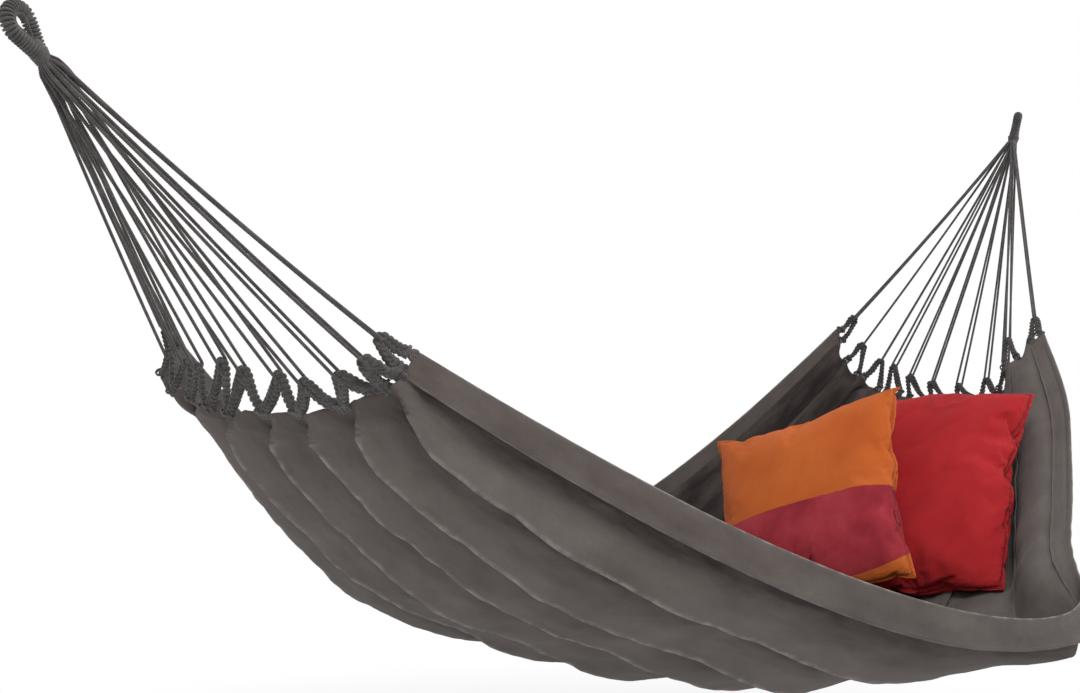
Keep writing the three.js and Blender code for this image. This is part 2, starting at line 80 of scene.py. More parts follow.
# The photograph's camera: its place in the frame, its angles and its lens
CAMERA_AT = (-1.0602, -1.8841, -0.3393)
CAMERA_YAW = 0.7577
CAMERA_PITCH = -0.0314
CAMERA_ROLL = 0.0104
FOCAL_PIXELS = 1651.7
PHOTO_WIDTH = 1080
SENSOR_WIDTH = 36.0
PHOTO_RIGHT = np.array([math.sin(CAMERA_YAW), -math.cos(CAMERA_YAW), 0.0])
PHOTO_TOWARDS = np.array([-math.cos(CAMERA_YAW), -math.sin(CAMERA_YAW), 0.0])

# The bed's corners, its lowest points and the curves between them, as the frame's solids have them
NEAR_NECK_RISE = 0.988
NEAR_CORNER = {"reach": 0.869, "half": 0.272, "shift": 0.010, "rise": 0.625}
FAR_CORNER = {"reach": 0.937, "half": 0.251, "shift": 0.010, "rise": 0.633}
NEAR_DIP = {"reach": 0.923, "rise": 0.527}
FAR_DIP = {"reach": 0.960, "rise": 0.473}
NEAR_SIDE_BOW = 0.650
NEAR_SIDE_RISE = 0.178
OFF_SIDE_BOW = 0.622
OFF_SIDE_RISE = 0.121
SIDE_LOW_X = 0.211
BELLY_LOW_X = 0.110
SIDE_SAG_POWER = 1.605
SIDE_BOW_POWER = 1.22
BELLY_POWER = 2.19
SECTION_POWER = 0.68
POWER_EASE = 0.22
SECTION_SAMPLES = 96

# Cloth, hems and pleats
CLOTH_THICK = 1.2 * MM
HEM_THICK = 4 * MM
HEM_WIDTH = 55 * MM
HEM_END_WIDTH = 40 * MM
SEAT_GAP = 0.3 * MM
PLEATS = 10
PLEAT_DEPTH = 15 * MM

# The folds' own lines across the bed, and where they gather to at the near end
FOLD_EDGES = np.array([0, 0.105, 0.245, 0.36, 0.515, 0.68, 0.84, 0.92, 1])
NEAR_FOLD_EDGES = np.array([0, 0.045, 0.19, 0.345, 0.475, 0.65, 0.82, 0.91, 1])
NEAR_EDGES_FROM = 0.92
FOLDS = len(FOLD_EDGES) - 1

# The near side's drape: its far half curls in, its corner there hangs out, its free edge sways
CURL_START = 0.06
CURL_FULL = 0.36
CURL_TURN = math.radians(58)
CURL_REACH = 0.20
CORNER_AT = 0.12
CORNER_WIDE = 0.20
CORNER_FROM = (-0.02, 0.08)
CORNER_TO = (0.40, 0.10)
CORNER_PUSH = np.array([0.045, -0.041, 0.0])
EDGE_SWAYS = ((0.82, 0.18, 25 * MM), (0.36, 0.14, -18 * MM))

# The square corner below it and the cloth drawn up under that: place along the bed and its
# width, then distance from the free edge and its width
BOX_AT = (0.03, 0.09, 0.125, 0.045)
BOX_PUSH = PHOTO_RIGHT * 0.052 - UP * 0.012
UNDER_BOX_AT = (0.03, 0.16, 0.26, 0.11)
UNDER_BOX_LIFT = 30 * MM

# Small ripples along the curled side
RIPPLE_DEPTH = 2.2 * MM
RIPPLE_AT = 0.34
RIPPLE_WIDE = 0.14
RIPPLE_PITCH = 0.055
RIPPLE_SLANT = 0.13

# Cords and braid loops
CORD_DIA = 5.2 * MM
CORD_CAD_DIA = 4.4 * MM
CORD_PITCH = 4.85 * MM
BRAID_DIA = 9.5 * MM
BRAID_LENGTH = 62 * MM
BRAID_SLACK = 1 * MM
HEM_FOOT_HALF = 12 * MM
BUNDLE_STRAIGHT = 9 * MM
BUNDLE_SPREAD = {-1: 1.5, 1: 1.0}
FAN_DROP = math.radians(45)

# End loops
LOOP_TWIST = {-1: math.radians(18), 1: math.radians(28)}
LOOP_LEAN = {-1: math.radians(52), 1: math.radians(69)}
LOOP_HEIGHT = {-1: 74 * MM, 1: 64 * MM}
LOOP_BEND = {-1: 20 * MM, 1: 18 * MM}
LOOP_ROOT = {-1: 3 * MM, 1: 14 * MM}
LOOP_CORE_RADIUS = 7.5 * MM
PIVOT_BALL = 6 * MM
NECK_LOW_RADIUS = 8.5 * MM
NECK_HIGH_RADIUS = 14.5 * MM
NECK_HEIGHT = 22 * MM

# Cushions: how each leans, how it lies beside its solid, and how full its sides are
CUSHION_CROWN = 0.062
COVER_SIZE = 0.460
PANEL_TOP = 0.465
WEDGE_SLOPE = 0.12
ORANGE_POSE = dict(lean=63.5, turn=0.5, roll=22, aside=0.0, raised=0.0, size=0.430, bowed=0.45)
RED_POSE = dict(lean=58.5, turn=-0.5, roll=9, aside=4 * MM, raised=9 * MM, size=0.446, bowed=0.80)

joint_at = {j["name"]: np.array(j["pos_m"]) for j in frame["joints"] if "pos_m" in j}
NECK = {-1: joint_at["sling_swing"], 1: joint_at["far_loop_pivot"]}
LABEL = {-1: "near", 1: "far"}
MID_SPAN = np.array([(NECK[-1][0] + NECK[1][0]) / 2, 0.0, NECK[-1][2] - NEAR_NECK_RISE])


# Small helpers


def unit(v):
    return v / np.linalg.norm(v, axis=-1, keepdims=True)


def lerp(a, b, t):
    return a + (b - a) * t


def smooth_step(t):
    t = np.clip(t, 0.0, 1.0)
    return t * t * (3 - 2 * t)


def eased(value, start, full):
    """From 0 where the value is at its start to 1 where it is full, with both ends smooth."""
    return smooth_step((value - start) / (full - start))


def hump(value, place, wide):
    return np.exp(-(((value - place) / wide) ** 2))


def run_along(points):
    """The length from the start to each point, along the first axis."""
    steps = np.linalg.norm(np.diff(points, axis=0), axis=-1)
    return np.concatenate([np.zeros((1, *steps.shape[1:])), np.cumsum(steps, axis=0)])


def perlin(points, scale, seed, octaves=3):
    """Smooth noise from -1 to 1 at each point, the same on every run."""
    shift = Vector((seed * 7.31, seed * 3.17, seed * 1.93))
    flat = (np.asarray(points).reshape(-1, 3) / scale).tolist()
    values = [noise.fractal(Vector(p) + shift, 1.0, 2.0, octaves) for p in flat]
    return np.array(values).reshape(np.asarray(points).shape[:-1])


# The camera


def make_camera():
    data = bpy.data.cameras.new("photo_camera")
    camera = bpy.data.objects.new("photo_camera", data)
    bpy.context.scene.collection.objects.link(camera)
    flat = math.cos(CAMERA_PITCH)
    ahead = Vector((math.cos(CAMERA_YAW) * flat, math.sin(CAMERA_YAW) * flat, math.sin(CAMERA_PITCH)))
    level = Vector(PHOTO_RIGHT)
    upright = level.cross(ahead)
    right = level * math.cos(CAMERA_ROLL) + upright * math.sin(CAMERA_ROLL)
    above = upright * math.cos(CAMERA_ROLL) - level * math.sin(CAMERA_ROLL)
    turn = Matrix((right, above, -ahead)).transposed().to_4x4()
    camera.matrix_world = Matrix.Translation(CAMERA_AT) @ turn
    data.sensor_width = SENSOR_WIDTH
    data.lens = FOCAL_PIXELS / PHOTO_WIDTH * SENSOR_WIDTH
    data.clip_start = 0.05
    data.clip_end = 60
    bpy.context.scene.camera = camera


# Meshes


def make_object(name, points, faces, material, uv=None):
    """A mesh object from points and faces, with one uv pair for each point where they are given."""
    mesh = bpy.data.meshes.new(name)
    mesh.from_pydata(np.asarray(points).tolist(), [], faces)
    mesh.polygons.foreach_set("use_smooth", [True] * len(mesh.polygons))
    if uv is not None:
        layer = mesh.uv_layers.new(name="cut")
        corners = np.empty(len(mesh.loops), np.int32)
        mesh.loops.foreach_get("vertex_index", corners)
        layer.data.foreach_set("uv", np.asarray(uv, np.float32)[corners].ravel())
    mesh.materials.append(material)
    mesh.update()
    made = bpy.data.objects.new(name, mesh)
    bpy.context.scene.collection.objects.link(made)
    return made


def mark_points(piece, name, values):
    """Stores one value from 0 to 1 at each point for the materials."""
    layer = piece.data.attributes.new(name, "FLOAT", "POINT")
    layer.data.foreach_set("value", np.asarray(values, np.float32).ravel())


def dress(piece, body, node=None):
    """Fixes a piece to its body and hides the solid that it stands for."""
    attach(piece, body)
    if node:
        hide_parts(node)


def grid_quads(index):
    corners = (index[:-1, :-1], index[1:, :-1], index[1:, 1:], index[:-1, 1:])
    return np.stack(corners, axis=-1).reshape(-1, 4)


def grid_rim(index):
    return np.concatenate([index[0, :], index[1:, -1], index[-1, -2::-1], index[-2:0:-1, 0]])


def grid_uv(across, along):
    """One uv pair for each point of a grid, from its places across and along."""
    return np.stack(np.broadcast_arrays(across[None, :], along[:, None]), axis=-1)


class Heap:
    """Gathers closed skins into one mesh."""

    def __init__(self):
        self.points = []
        self.faces = []
        self.uv = []
        self.count = 0

    def add_rings(self, rings, uv=None, closed=False):
        """A skin through rings of points, with flat ends, or joined end to start."""
        rings = np.asarray(rings)
        n, m, _ = rings.shape
        index = np.arange(n * m).reshape(n, m) + self.count
        here = index if closed else index[:-1]
        ahead = np.roll(index, -1, axis=0) if closed else index[1:]
        quads = np.stack([here, np.roll(here, -1, axis=1), np.roll(ahead, -1, axis=1), ahead], axis=-1)
        self.faces.extend(quads.reshape(-1, 4).tolist())
        if not closed:
            self.faces.append(index[0][::-1].tolist())
            self.faces.append(index[-1].tolist())
        self.points.append(rings.reshape(-1, 3))
        self.uv.append(np.zeros((n * m, 2)) if uv is None else np.asarray(uv).reshape(-1, 2))
        self.count += n * m

    def build(self, name, material):
        points = np.concatenate(self.points)
        return make_object(name, points, self.faces, material, np.concatenate(self.uv))


def carried_frames(path, closed=False):
    """Directions and two cross directions along a path, carried along it without twist."""
    path = np.asarray(path)
    if closed:
        steps = np.roll(path, -1, axis=0) - np.roll(path, 1, axis=0)
    else:
        steps = np.gradient(path, axis=0)
    ways = unit(steps)
    hint = SIDEWAYS if abs(np.dot(UP, ways[0])) > 0.95 else UP
    side = np.cross(hint, ways[0])
    sides = np.empty_like(path)
    for i, way in enumerate(ways):
        side = side - way * np.dot(side, way)
        side = side / np.linalg.norm(side)
        sides[i] = side
    return ways, sides, np.cross(ways, sides)


def resample(path, step):
    """The same path with even steps of about the given length."""
    path = np.asarray(path)
    run = run_along(path)
    count = max(int(round(run[-1] / step)), 2)
    wanted = np.linspace(0, run[-1], count + 1)
    return np.stack([np.interp(wanted, run, path[:, k]) for k in range(3)], axis=1)


def rounded(path, step, passes=2):
    """A path through the points with its corners eased, in even steps."""
    line = resample(path, step)
    for _ in range(passes):
        line[1:-1] = (line[:-2] + 2 * line[1:-1] + line[2:]) / 4
    return line


def ring_offsets(side, other, angles, radius):
    """Offsets round each point of a path, at the given angles and radii."""
    out = np.cos(angles)[..., None] * side[:, None, :] + np.sin(angles)[..., None] * other[:, None, :]
    return radius[..., None] * out


# One lobe of a laid rope's section, of which it has three
LAID_LOBE = np.array([1.0, 0.94, 0.84, 0.94])
LAID_STRANDS = 3


def add_laid_rope(heap, path, diameter, pitch, step, start_angle=0.0):
    """A three-strand rope along a path: its section's three lobes turn once in each pitch."""
    line = rounded(path, step)
    _, side, other = carried_frames(line)
    run = np.arange(len(line)) * np.linalg.norm(line[1] - line[0])
    radius = diameter / 2 * np.tile(LAID_LOBE, LAID_STRANDS)
    around = np.linspace(0, 2 * math.pi, len(radius), endpoint=False)
    angles = around[None, :] + 2 * math.pi * run[:, None] / pitch + start_angle
    rings = line[:, None, :] + ring_offsets(side, other, angles, radius[None, :])
    heap.add_rings(rings, grid_uv(around * diameter / 2, run))


def add_cord(heap, path, radius, sides, closed=False):
    """A plain round cord; radius may be one value or one for each point."""
    line = np.asarray(path)
    _, side, other = carried_frames(line, closed)
    around = np.linspace(0, 2 * math.pi, sides, endpoint=False)
    radius = np.broadcast_to(np.asarray(radius, float), (len(line),))[:, None]
    rings = line[:, None, :] + ring_offsets(side, other, around[None, :], radius)
    run = np.broadcast_to(run_along(line)[:, None], (len(line), sides))
    heap.add_rings(rings, np.stack([around[None, :] * radius, run], axis=-1), closed)


# The bed's surface: u runs from the near end (-1) to the far end (1)


def eased_power(t, power):
    low = POWER_EASE**power
    return ((t * t + POWER_EASE**2) ** (power / 2) - low) / ((1 + POWER_EASE**2) ** (power / 2) - low)


def section_frame(u):
    corner = NEAR_CORNER if u < 0 else FAR_CORNER
    dip = NEAR_DIP if u < 0 else FAR_DIP
    end = 1 if u >= 0 else -1
    bow = eased_power(u, SIDE_BOW_POWER)
    sag = eased_power(u, SIDE_SAG_POWER)
    side_x = SIDE_LOW_X + abs(u) * (end * corner["reach"] - SIDE_LOW_X)
    belly_x = BELLY_LOW_X + abs(u) * (end * dip["reach"] - BELLY_LOW_X)
    shift = corner["shift"] * u * u
    near_y = shift - lerp(NEAR_SIDE_BOW, corner["half"], bow)
    off_y = shift + lerp(OFF_SIDE_BOW, corner["half"], bow)
    near = np.array([side_x, near_y, lerp(NEAR_SIDE_RISE, corner["rise"], sag)])
    off = np.array([side_x, off_y, lerp(OFF_SIDE_RISE, corner["rise"], sag)])
    belly = np.array([belly_x, shift, dip["rise"] * eased_power(u, BELLY_POWER)])
    return MID_SPAN + near, MID_SPAN + off, MID_SPAN + belly


section_cache = {}


def section_at(u):
    """One cross-section as a chain of points, with the length along it."""
    key = round(float(u), 9)
    if key not in section_cache:
        near, off, belly = section_frame(key)
        middle = (near + off) / 2
        angle = math.pi * (np.arange(SECTION_SAMPLES + 1) / SECTION_SAMPLES - 0.5)
        sink = np.maximum(np.cos(angle), 0.0) ** SECTION_POWER
        chain = middle + np.sin(angle)[:, None] * (off - near) / 2 + sink[:, None] * (belly - middle)
        section_cache[key] = (chain, run_along(chain))
    return section_cache[key]


def smooth_points(u, distances):
    chain, run = section_at(u)
    wanted = np.clip(distances, 0, run[-1])
    return np.stack([np.interp(wanted, run, chain[:, k]) for k in range(3)], axis=-1)


SLOPE_STEP = 0.004


def free_edge(u):
    return section_at(u)[0][0]


def edge_way(u):
    """The direction in which the near side's free edge runs."""
    return unit(free_edge(min(u + SLOPE_STEP, 1)) - free_edge(max(u - SLOPE_STEP, -1)))


def turned(points, pivot, axis, angles):
    """Points turned about an axis through the pivot, each by its own angle."""
    arm = points - pivot
    cos = np.cos(angles)[..., None]
    sin = np.sin(angles)[..., None]
    return pivot + arm * cos + np.cross(axis, arm) * sin + axis * (arm @ axis)[..., None] * (1 - cos)


def curl_share(u):
    return eased(u, CURL_START, CURL_FULL)


def spot_share(u, distances, place, wide, distance, deep):
    return hump(u, place, wide) * hump(distances, distance, deep)


def formed(u, distances):
    """Bed points by their distance from the near side's free edge, with that side's own drape.

    The far half of that side curls in over its edge, and the corner where it turns up hangs out.
    """
    distances = np.asarray(distances, float)
    points = smooth_points(u, distances)
    near = eased(distances, CURL_REACH, HEM_WIDTH)
    curl = CURL_TURN * curl_share(u)
    if curl > 0:
        points = turned(points, free_edge(u), edge_way(u), curl * near)
    side = eased(distances, *CORNER_FROM) * eased(distances, *CORNER_TO)
    sway = sum(reach * hump(u, place, wide) for place, wide, reach in EDGE_SWAYS)
    waves = np.sin(2 * math.pi * (u / RIPPLE_PITCH + distances / RIPPLE_SLANT))
    pushes = (
        (CORNER_PUSH, hump(u, CORNER_AT, CORNER_WIDE) * side),
        (BOX_PUSH, spot_share(u, distances, *BOX_AT)),
        (UP, UNDER_BOX_LIFT * spot_share(u, distances, *UNDER_BOX_AT)),
        (PHOTO_RIGHT, sway * near),
        (PHOTO_TOWARDS, RIPPLE_DEPTH * hump(u, RIPPLE_AT, RIPPLE_WIDE) * waves * near),
    )
    return points + sum(share[..., None] * push for push, share in pushes)


def hem_width_at(u):
    return lerp(HEM_WIDTH, HEM_END_WIDTH, u * u)


def between_hems(u, w, tucked=0.0):
    """Smooth bed points from the near side's hem (w is 0) to the off side's (w is 1)."""
    total = section_at(u)[1][-1]
    inset = hem_width_at(u) + SEAT_GAP
    return formed(u, lerp(inset, total - inset, np.asarray(w, float)) - tucked)


def inwards(u):
    return u - SLOPE_STEP if u > 0 else u + SLOPE_STEP


def lengthwise(u, w):
    way = unit(between_hems(u, w) - between_hems(inwards(u), w))
    return way if u > 0 else -way


def upper_normal(u, w):
    w = np.asarray(w, float)
    ahead = between_hems(u, np.minimum(w + SLOPE_STEP, 1))
    behind = between_hems(u, np.maximum(w - SLOPE_STEP, 0))
    return unit(np.cross(lengthwise(u, w), unit(ahead - behind)))


def fold_edges(u):
    """Where the folds' panels meet, as shares of the bed from hem to hem."""
    return lerp(FOLD_EDGES, NEAR_FOLD_EDGES, eased(-u, NEAR_EDGES_FROM, 1))


def edge_point(u, w):
    """A point of the gathered end edge, whose pleats hang between the folds' lines."""
    w = np.asarray(w, float)
    counted = np.interp(w, fold_edges(u), np.arange(FOLDS + 1))
    drop = PLEAT_DEPTH * np.sin(math.pi * counted) ** 2
    return between_hems(u, w) - upper_normal(u, w) * drop[..., None]


# Materials


def linear(red, green, blue):
    """A colour as it is seen, from 0 to 255, as the shader's own values."""
    return tuple(
        v / 12.92 if v <= 0.04045 else ((v + 0.055) / 1.055) ** 2.4
        for v in (red / 255, green / 255, blue / 255)
    )


def grey(value):
    return (value, value, value)


def new_material(name, colour, roughness, sheen):
    """A fabric's shader with its constant values on its own sockets."""
    material = bpy.data.materials.new(name)
    material.use_nodes = True
    tree = material.node_tree
    shader = tree.nodes["Principled BSDF"]
    shader.inputs["Base Color"].default_value = (*colour, 1)
    shader.inputs["Roughness"].default_value = roughness
    shader.inputs["Specular IOR Level"].default_value = 0.25
    shader.inputs["Sheen Weight"].default_value = sheen
    shader.inputs["Sheen Roughness"].default_value = 0.6
    return material, tree, shader


def feed(tree, socket, value):
    """Gives an input its value, or links it to the socket that the value comes from."""
    if isinstance(value, bpy.types.NodeSocket):
        tree.links.new(value, socket)
    else:
        socket.default_value = value


def new_node(tree, kind, inputs=None):
    """A shader node whose inputs are given by their names or numbers."""
    node = tree.nodes.new("ShaderNode" + kind)
    for name, value in (inputs or {}).items():
        feed(tree, node.inputs[name], value)
    return node


def cut_uv(tree):
    """The cloth's own flat coordinates."""
    node = new_node(tree, "UVMap")
    node.uv_map = "cut"
    return node.outputs["UV"]


def place_socket(tree):
    return new_node(tree, "TexCoord").outputs["Object"]


def marked(tree, name):
    node = new_node(tree, "Attribute")
    node.attribute_name = name
    return node.outputs["Fac"]


def axis_sockets(tree, vector):
    node = new_node(tree, "SeparateXYZ", {0: vector})
    return node.outputs["X"], node.outputs["Y"]


def math_node(tree, operation, *values):
    node = new_node(tree, "Math", dict(enumerate(values)))
    node.operation = operation
    return node.outputs[0]


def weighed(tree, first, second, share):
    """The sum of two values, the first by its share and the second by the rest."""
    ahead = math_node(tree, "MULTIPLY", first, share)
    return math_node(tree, "ADD", ahead, math_node(tree, "MULTIPLY", second, 1 - share))


def noise_node(tree, vector, scale, detail=3.0):
    inputs = {"Vector": vector, "Scale": scale, "Detail": detail, "Roughness": 0.55}
    return new_node(tree, "TexNoise", inputs).outputs["Fac"]


def stretched(tree, vector, scale):
    return new_node(tree, "Mapping", {"Vector": vector, "Scale": scale}).outputs["Vector"]


def ramp_node(tree, value, stops):
    """A colour ramp from (place, colour) pairs."""
    node = new_node(tree, "ValToRGB", {"Fac": value})
    while len(node.color_ramp.elements) < len(stops):
        node.color_ramp.elements.new(0.5)
    for element, (place, colour) in zip(node.color_ramp.elements, stops):
        element.position = place
        element.color = (*colour, 1)
    return node.outputs["Color"]


def colour_socket(tree, factor, first, second, blend="MIX"):
    """A Mix node of two colours, with its colour sockets picked by type."""
    node = new_node(tree, "Mix")
    node.data_type = "RGBA"
    node.blend_type = blend
    inputs = [s for s in node.inputs if s.enabled]
    for socket, value in zip(inputs, (factor, first, second)):
        feed(tree, socket, (*value, 1) if isinstance(value, tuple) else value)
    return next(s for s in node.outputs if s.enabled)


def bump_node(tree, height, distance, strength, under=None):
    inputs = {"Height": height, "Distance": distance, "Strength": strength}
    if under is not None:
        inputs["Normal"] = under
    return new_node(tree, "Bump", inputs).outputs["Normal"]


def weave_height(tree, uv, pitch):
    """Over-and-under yarns of a plain weave, from the cloth's own cut coordinates."""
    waves = []
    for axis in axis_sockets(tree, uv):
        turns = math_node(tree, "MULTIPLY", axis, math.pi / pitch)
        waves.append(math_node(tree, "SINE", turns))
    across = math_node(tree, "ABSOLUTE", waves[0])
    along = math_node(tree, "ABSOLUTE", waves[1])
    over = math_node(tree, "GREATER_THAN", math_node(tree, "MULTIPLY", *waves), 0.0)
    chosen = math_node(tree, "MULTIPLY", over, math_node(tree, "SUBTRACT", across, along))
    return math_node(tree, "ADD", chosen, along)


def woven_material(name, tones, pitch, roughness, sheen):
    """Plain-woven cotton: uneven yarns along and across, soft blotches and a fine weave."""
    dark, middle, light = tones
    material, tree, shader = new_material(name, middle, roughness, sheen)
    uv = cut_uv(tree)
    place = place_socket(tree)
    weft = noise_node(tree, stretched(tree, uv, (60, 900, 1)), 1.0, 2.0)
    warp = noise_node(tree, stretched(tree, uv, (900, 60, 1)), 1.0, 2.0)
    mixed = weighed(tree, noise_node(tree, place, 9.0, 4.0), weighed(tree, weft, warp, 0.5), 0.55)
    base = ramp_node(tree, mixed, [(0.34, dark), (0.5, middle), (0.66, light)])
    tree.links.new(base, shader.inputs["Base Color"])
    fine = bump_node(tree, weave_height(tree, uv, pitch), 0.25 * MM, 0.5)
    soft = bump_node(tree, noise_node(tree, place, 420.0, 2.0), 0.5 * MM, 0.35, fine)
    creases = bump_node(tree, noise_node(tree, place, 34.0), 2.2 * MM, 0.35, soft)
    tree.links.new(creases, shader.inputs["Normal"])
    return material, tree, shader, base


def cord_material(name, tones):
    """Cotton cord: fibres along each strand, fuzz and a little unevenness."""
    dark, middle, light = tones
    material, tree, shader = new_material(name, middle, 0.95, 0.3)
    fibre = noise_node(tree, stretched(tree, cut_uv(tree), (2600, 300, 1)), 1.0, 2.0)
    mixed = weighed(tree, fibre, noise_node(tree, place_socket(tree), 60.0), 0.5)
    base = ramp_node(tree, mixed, [(0.36, dark), (0.5, middle), (0.66, light)])
    tree.links.new(base, shader.inputs["Base Color"])
    tree.links.new(bump_node(tree, fibre, 0.4 * MM, 0.6), shader.inputs["Normal"])
    return material


# The bed's cotton: its tones, the painted shade from the grooves to the crests, and its pale crest lines
# and hem edges, partly worn and partly a painted highlight
CLOTH_TONES = (linear(84, 77, 74), linear(93, 86, 83), linear(101, 94, 91))
WORN_AND_LIT_COLOUR = linear(152, 143, 137)
# Painted shade by the points' marks: darkest in the groove under each fold, lightest at its crest
PAINTED_SHADE_RAMP = [
    (0.0, (0.28, 0.25, 0.25)),
    (0.16, (0.50, 0.46, 0.46)),
    (0.36, (0.74, 0.71, 0.70)),
    (0.65, (0.92, 0.91, 0.90)),
    (1.0, (1.12, 1.13, 1.13)),
]
MOTTLE = 1.3


def cloth_material():
    """The bed's grey cotton, with painted shade down the folds' faces to their grooves, and pale along
    the folds' crests and the hems' edges, partly rubbed and partly a painted highlight.
    """
    material, tree, shader, base = woven_material("hammock_cloth", CLOTH_TONES, 1.1 * MM, 0.95, 0.06)
    specks = noise_node(tree, place_socket(tree), 40.0)
    patchy = ramp_node(tree, specks, [(0.40, grey(0.12)), (0.64, grey(0.95))])
    blots = noise_node(tree, stretched(tree, cut_uv(tree), (22, 8, 1)), 1.0, 4.0)
    mottled = math_node(tree, "MULTIPLY", math_node(tree, "SUBTRACT", blots, 0.5), MOTTLE)
    # Painted light and shade from the points' marks, with random blotches over them
    depth = ramp_node(tree, math_node(tree, "ADD", marked(tree, "painted_light_and_shade"), mottled), PAINTED_SHADE_RAMP)
    toned = colour_socket(tree, 1.0, base, depth, "MULTIPLY")
    # Pale crest lines and hem edges: partly wear, partly a painted highlight
    share = math_node(tree, "MULTIPLY", marked(tree, "wear_and_highlight"), patchy)
    tree.links.new(colour_socket(tree, share, toned, WORN_AND_LIT_COLOUR), shader.inputs["Base Color"])
    return material


CORD_TONES = (linear(46, 43, 42), linear(65, 61, 60), linear(90, 85, 83))
THREAD_TONES = (linear(70, 65, 62), linear(84, 78, 75), linear(98, 92, 89))
FILLING_TONES = (linear(214, 208, 196), linear(228, 223, 213), linear(240, 237, 230))

CLOTH_MATERIAL = cloth_material()
CORD_MATERIAL = cord_material("hammock_cord", CORD_TONES)
THREAD_MATERIAL = cord_material("sewing_thread", THREAD_TONES)
FILLING_MATERIAL = cord_material("cushion_filling", FILLING_TONES)


# The cloth bed: sharp folds from foot to foot that overlap like slats, scalloped ends, soft wrinkles

SHEET_ALONG = 240
END_CROWDING = 0.7
PANEL_CELLS = 10
CREST_CELLS = 7
LEAN_DOWN = 6
CREST_FROM = 0.82
CREST_PLACE = 0.90
CREST_STEEP = 2.1
CREST_LEAN = 1.15
CREST_WORN_AND_LIT = 0.035
FOLD_START = 0.035
FOLD_MIDDLE = 24 * MM
FOLD_ENDS = 34 * MM
FOLD_UNEVEN = 0.45
FOLD_WANDER = 0.10
FOLD_LIFT_ENDS = 0.45
FOLD_LIFT_MIDDLE = 0.75
CALM_FAR = 0.75
CALM_CURLED = 0.9
CURLED_TUCK = 5 * MM
UNDER_HEM = 10 * MM
TUCK_DEPTH = 8 * MM
TUCK_AT = 0.03
TUCK_WIDE = 0.12
HEM_HOLD = 0.6
RUFFLE = 3.2 * MM
SLANT = 4.4 * MM
GATHER = 2.4 * MM
GATHER_RUN = 0.10

# Where the bed's underside is drawn up: its place along the bed, how wide and how far
BELLY_LIFTS = ((-0.45, 0.16, 26 * MM), (0.10, 0.18, 30 * MM), (0.4, 0.3, 8 * MM))
OFF_SIDE_LIFTS = ((-0.92, 0.20, 12 * MM), (-0.58, 0.14, -4 * MM))
OFF_SIDE_FROM = (0.69, 0.75)

# Dents below the cushions: where each lies, how wide it is and how deep
DENTS = ((1.63, 0.115, 0.07, 25 * MM), (1.82, -0.36, 0.08, 20 * MM), (1.81, -0.16, 0.11, 20 * MM))

# The cloth's painted light and shade: each fold's face is painted darker towards the groove under the
# fold above it, and the inner side has its own painted light and shade.
# The pairs are the places between which the painted light and the painted shade set in, across the bed
# and along it.
SHADED_FROM = 0.7
INNER_SHADE_TONE = 0.45
LIT_TONE = 0.95
LIT_ACROSS = (0.3, 0.15)
DEEP_SHADE_TONE = 0.10
DEEP_SHADE_ACROSS = (0.45, 0.65)
DEEP_SHADE_ALONG = (0.1, 0.3)
CALM_ALONG = (0.05, 0.35)

# The end edges hang back between the braid loops' feet, given as shares of the bed
SCALLOP = {-1: -17 * MM, 1: 12 * MM}
SCALLOP_RUN = 55 * MM
FLAP_RISE = 28 * MM
NEAR_FEET = [
    0.004, 0.042, 0.050, 0.175, 0.190, 0.330, 0.345, 0.460, 0.475,
    0.585, 0.600, 0.690, 0.705, 0.780, 0.79, 0.87, 0.88, 0.96,
]
FAR_FOOT_HALF = 0.032
FAR_FEET = [k / PLEATS + step for k in range(1, PLEATS) for step in (-FAR_FOOT_HALF, FAR_FOOT_HALF)]
FEET = {-1: NEAR_FEET, 1: FAR_FEET}


class Columns:
    """The sheet's places across, closer together at the folds' crests.

    The folds overlap downwards from the near side's hem, and the last ones from the off side's.
    """

    def __init__(self):
        even = np.linspace(0, CREST_FROM, PANEL_CELLS, endpoint=False)
        close = np.linspace(CREST_FROM, 1, CREST_CELLS, endpoint=False)
        cells = np.concatenate([even, close])
        ahead = np.concatenate([k + cells for k in range(LEAN_DOWN)])
        back = np.concatenate([k + cells for k in range(FOLDS - LEAN_DOWN)])
        counted = np.concatenate([[0, 0], ahead, [FOLDS - LEAN_DOWN], back[::-1], [0, 0]])
        under = np.zeros(len(counted))
        under[[0, 1, -2, -1]] = [UNDER_HEM, UNDER_HEM / 2, UNDER_HEM / 2, UNDER_HEM]
        self.side = np.where(np.arange(len(counted)) < len(ahead) + 2, 1.0, -1.0)
        self.tucked = under * self.side
        self.panel = np.floor(counted + 1e-9)
        self.share = counted - self.panel
        self.place = np.where(self.side > 0, counted, FOLDS - counted)
        row = np.where(self.side > 0, self.panel, FOLDS - 1 - self.panel).astype(int)
        self.row = np.clip(row, 0, FOLDS - 1)
        self.even_w = self.across(FOLD_EDGES)
        # How far each lies from the nearer hem, counted in pleats
        self.from_hem = np.minimum(self.even_w, 1 - self.even_w) * PLEATS
        held = lerp(HEM_HOLD, 1, smooth_step(self.from_hem / 0.2))
        covered = HEM_HOLD * (1 - under / UNDER_HEM)
        self.inside = np.where(under == 0, held, covered)
        self.tuck = TUCK_DEPTH * hump(self.from_hem, TUCK_AT, TUCK_WIDE) * self.inside

    def across(self, edges):
        return np.interp(self.place, np.arange(FOLDS + 1), edges)


def fold_shape(u, share):
    """How far a fold stands out across its panel, how well it is formed there and where its crest is."""
    hung = smooth_step((1 - abs(u)) / FOLD_START)
    crest = lerp(0.5, CREST_PLACE, hung)
    rising = np.clip(share / crest, 0, 1)
    falling = np.clip((share - crest) / (1 - crest), 0, 1)
    rise = lerp(np.sin(math.pi / 2 * rising) ** 2, rising**CREST_STEEP, hung * 0.8)
    return rise * np.cos(math.pi / 2 * falling) ** 2, hung, crest


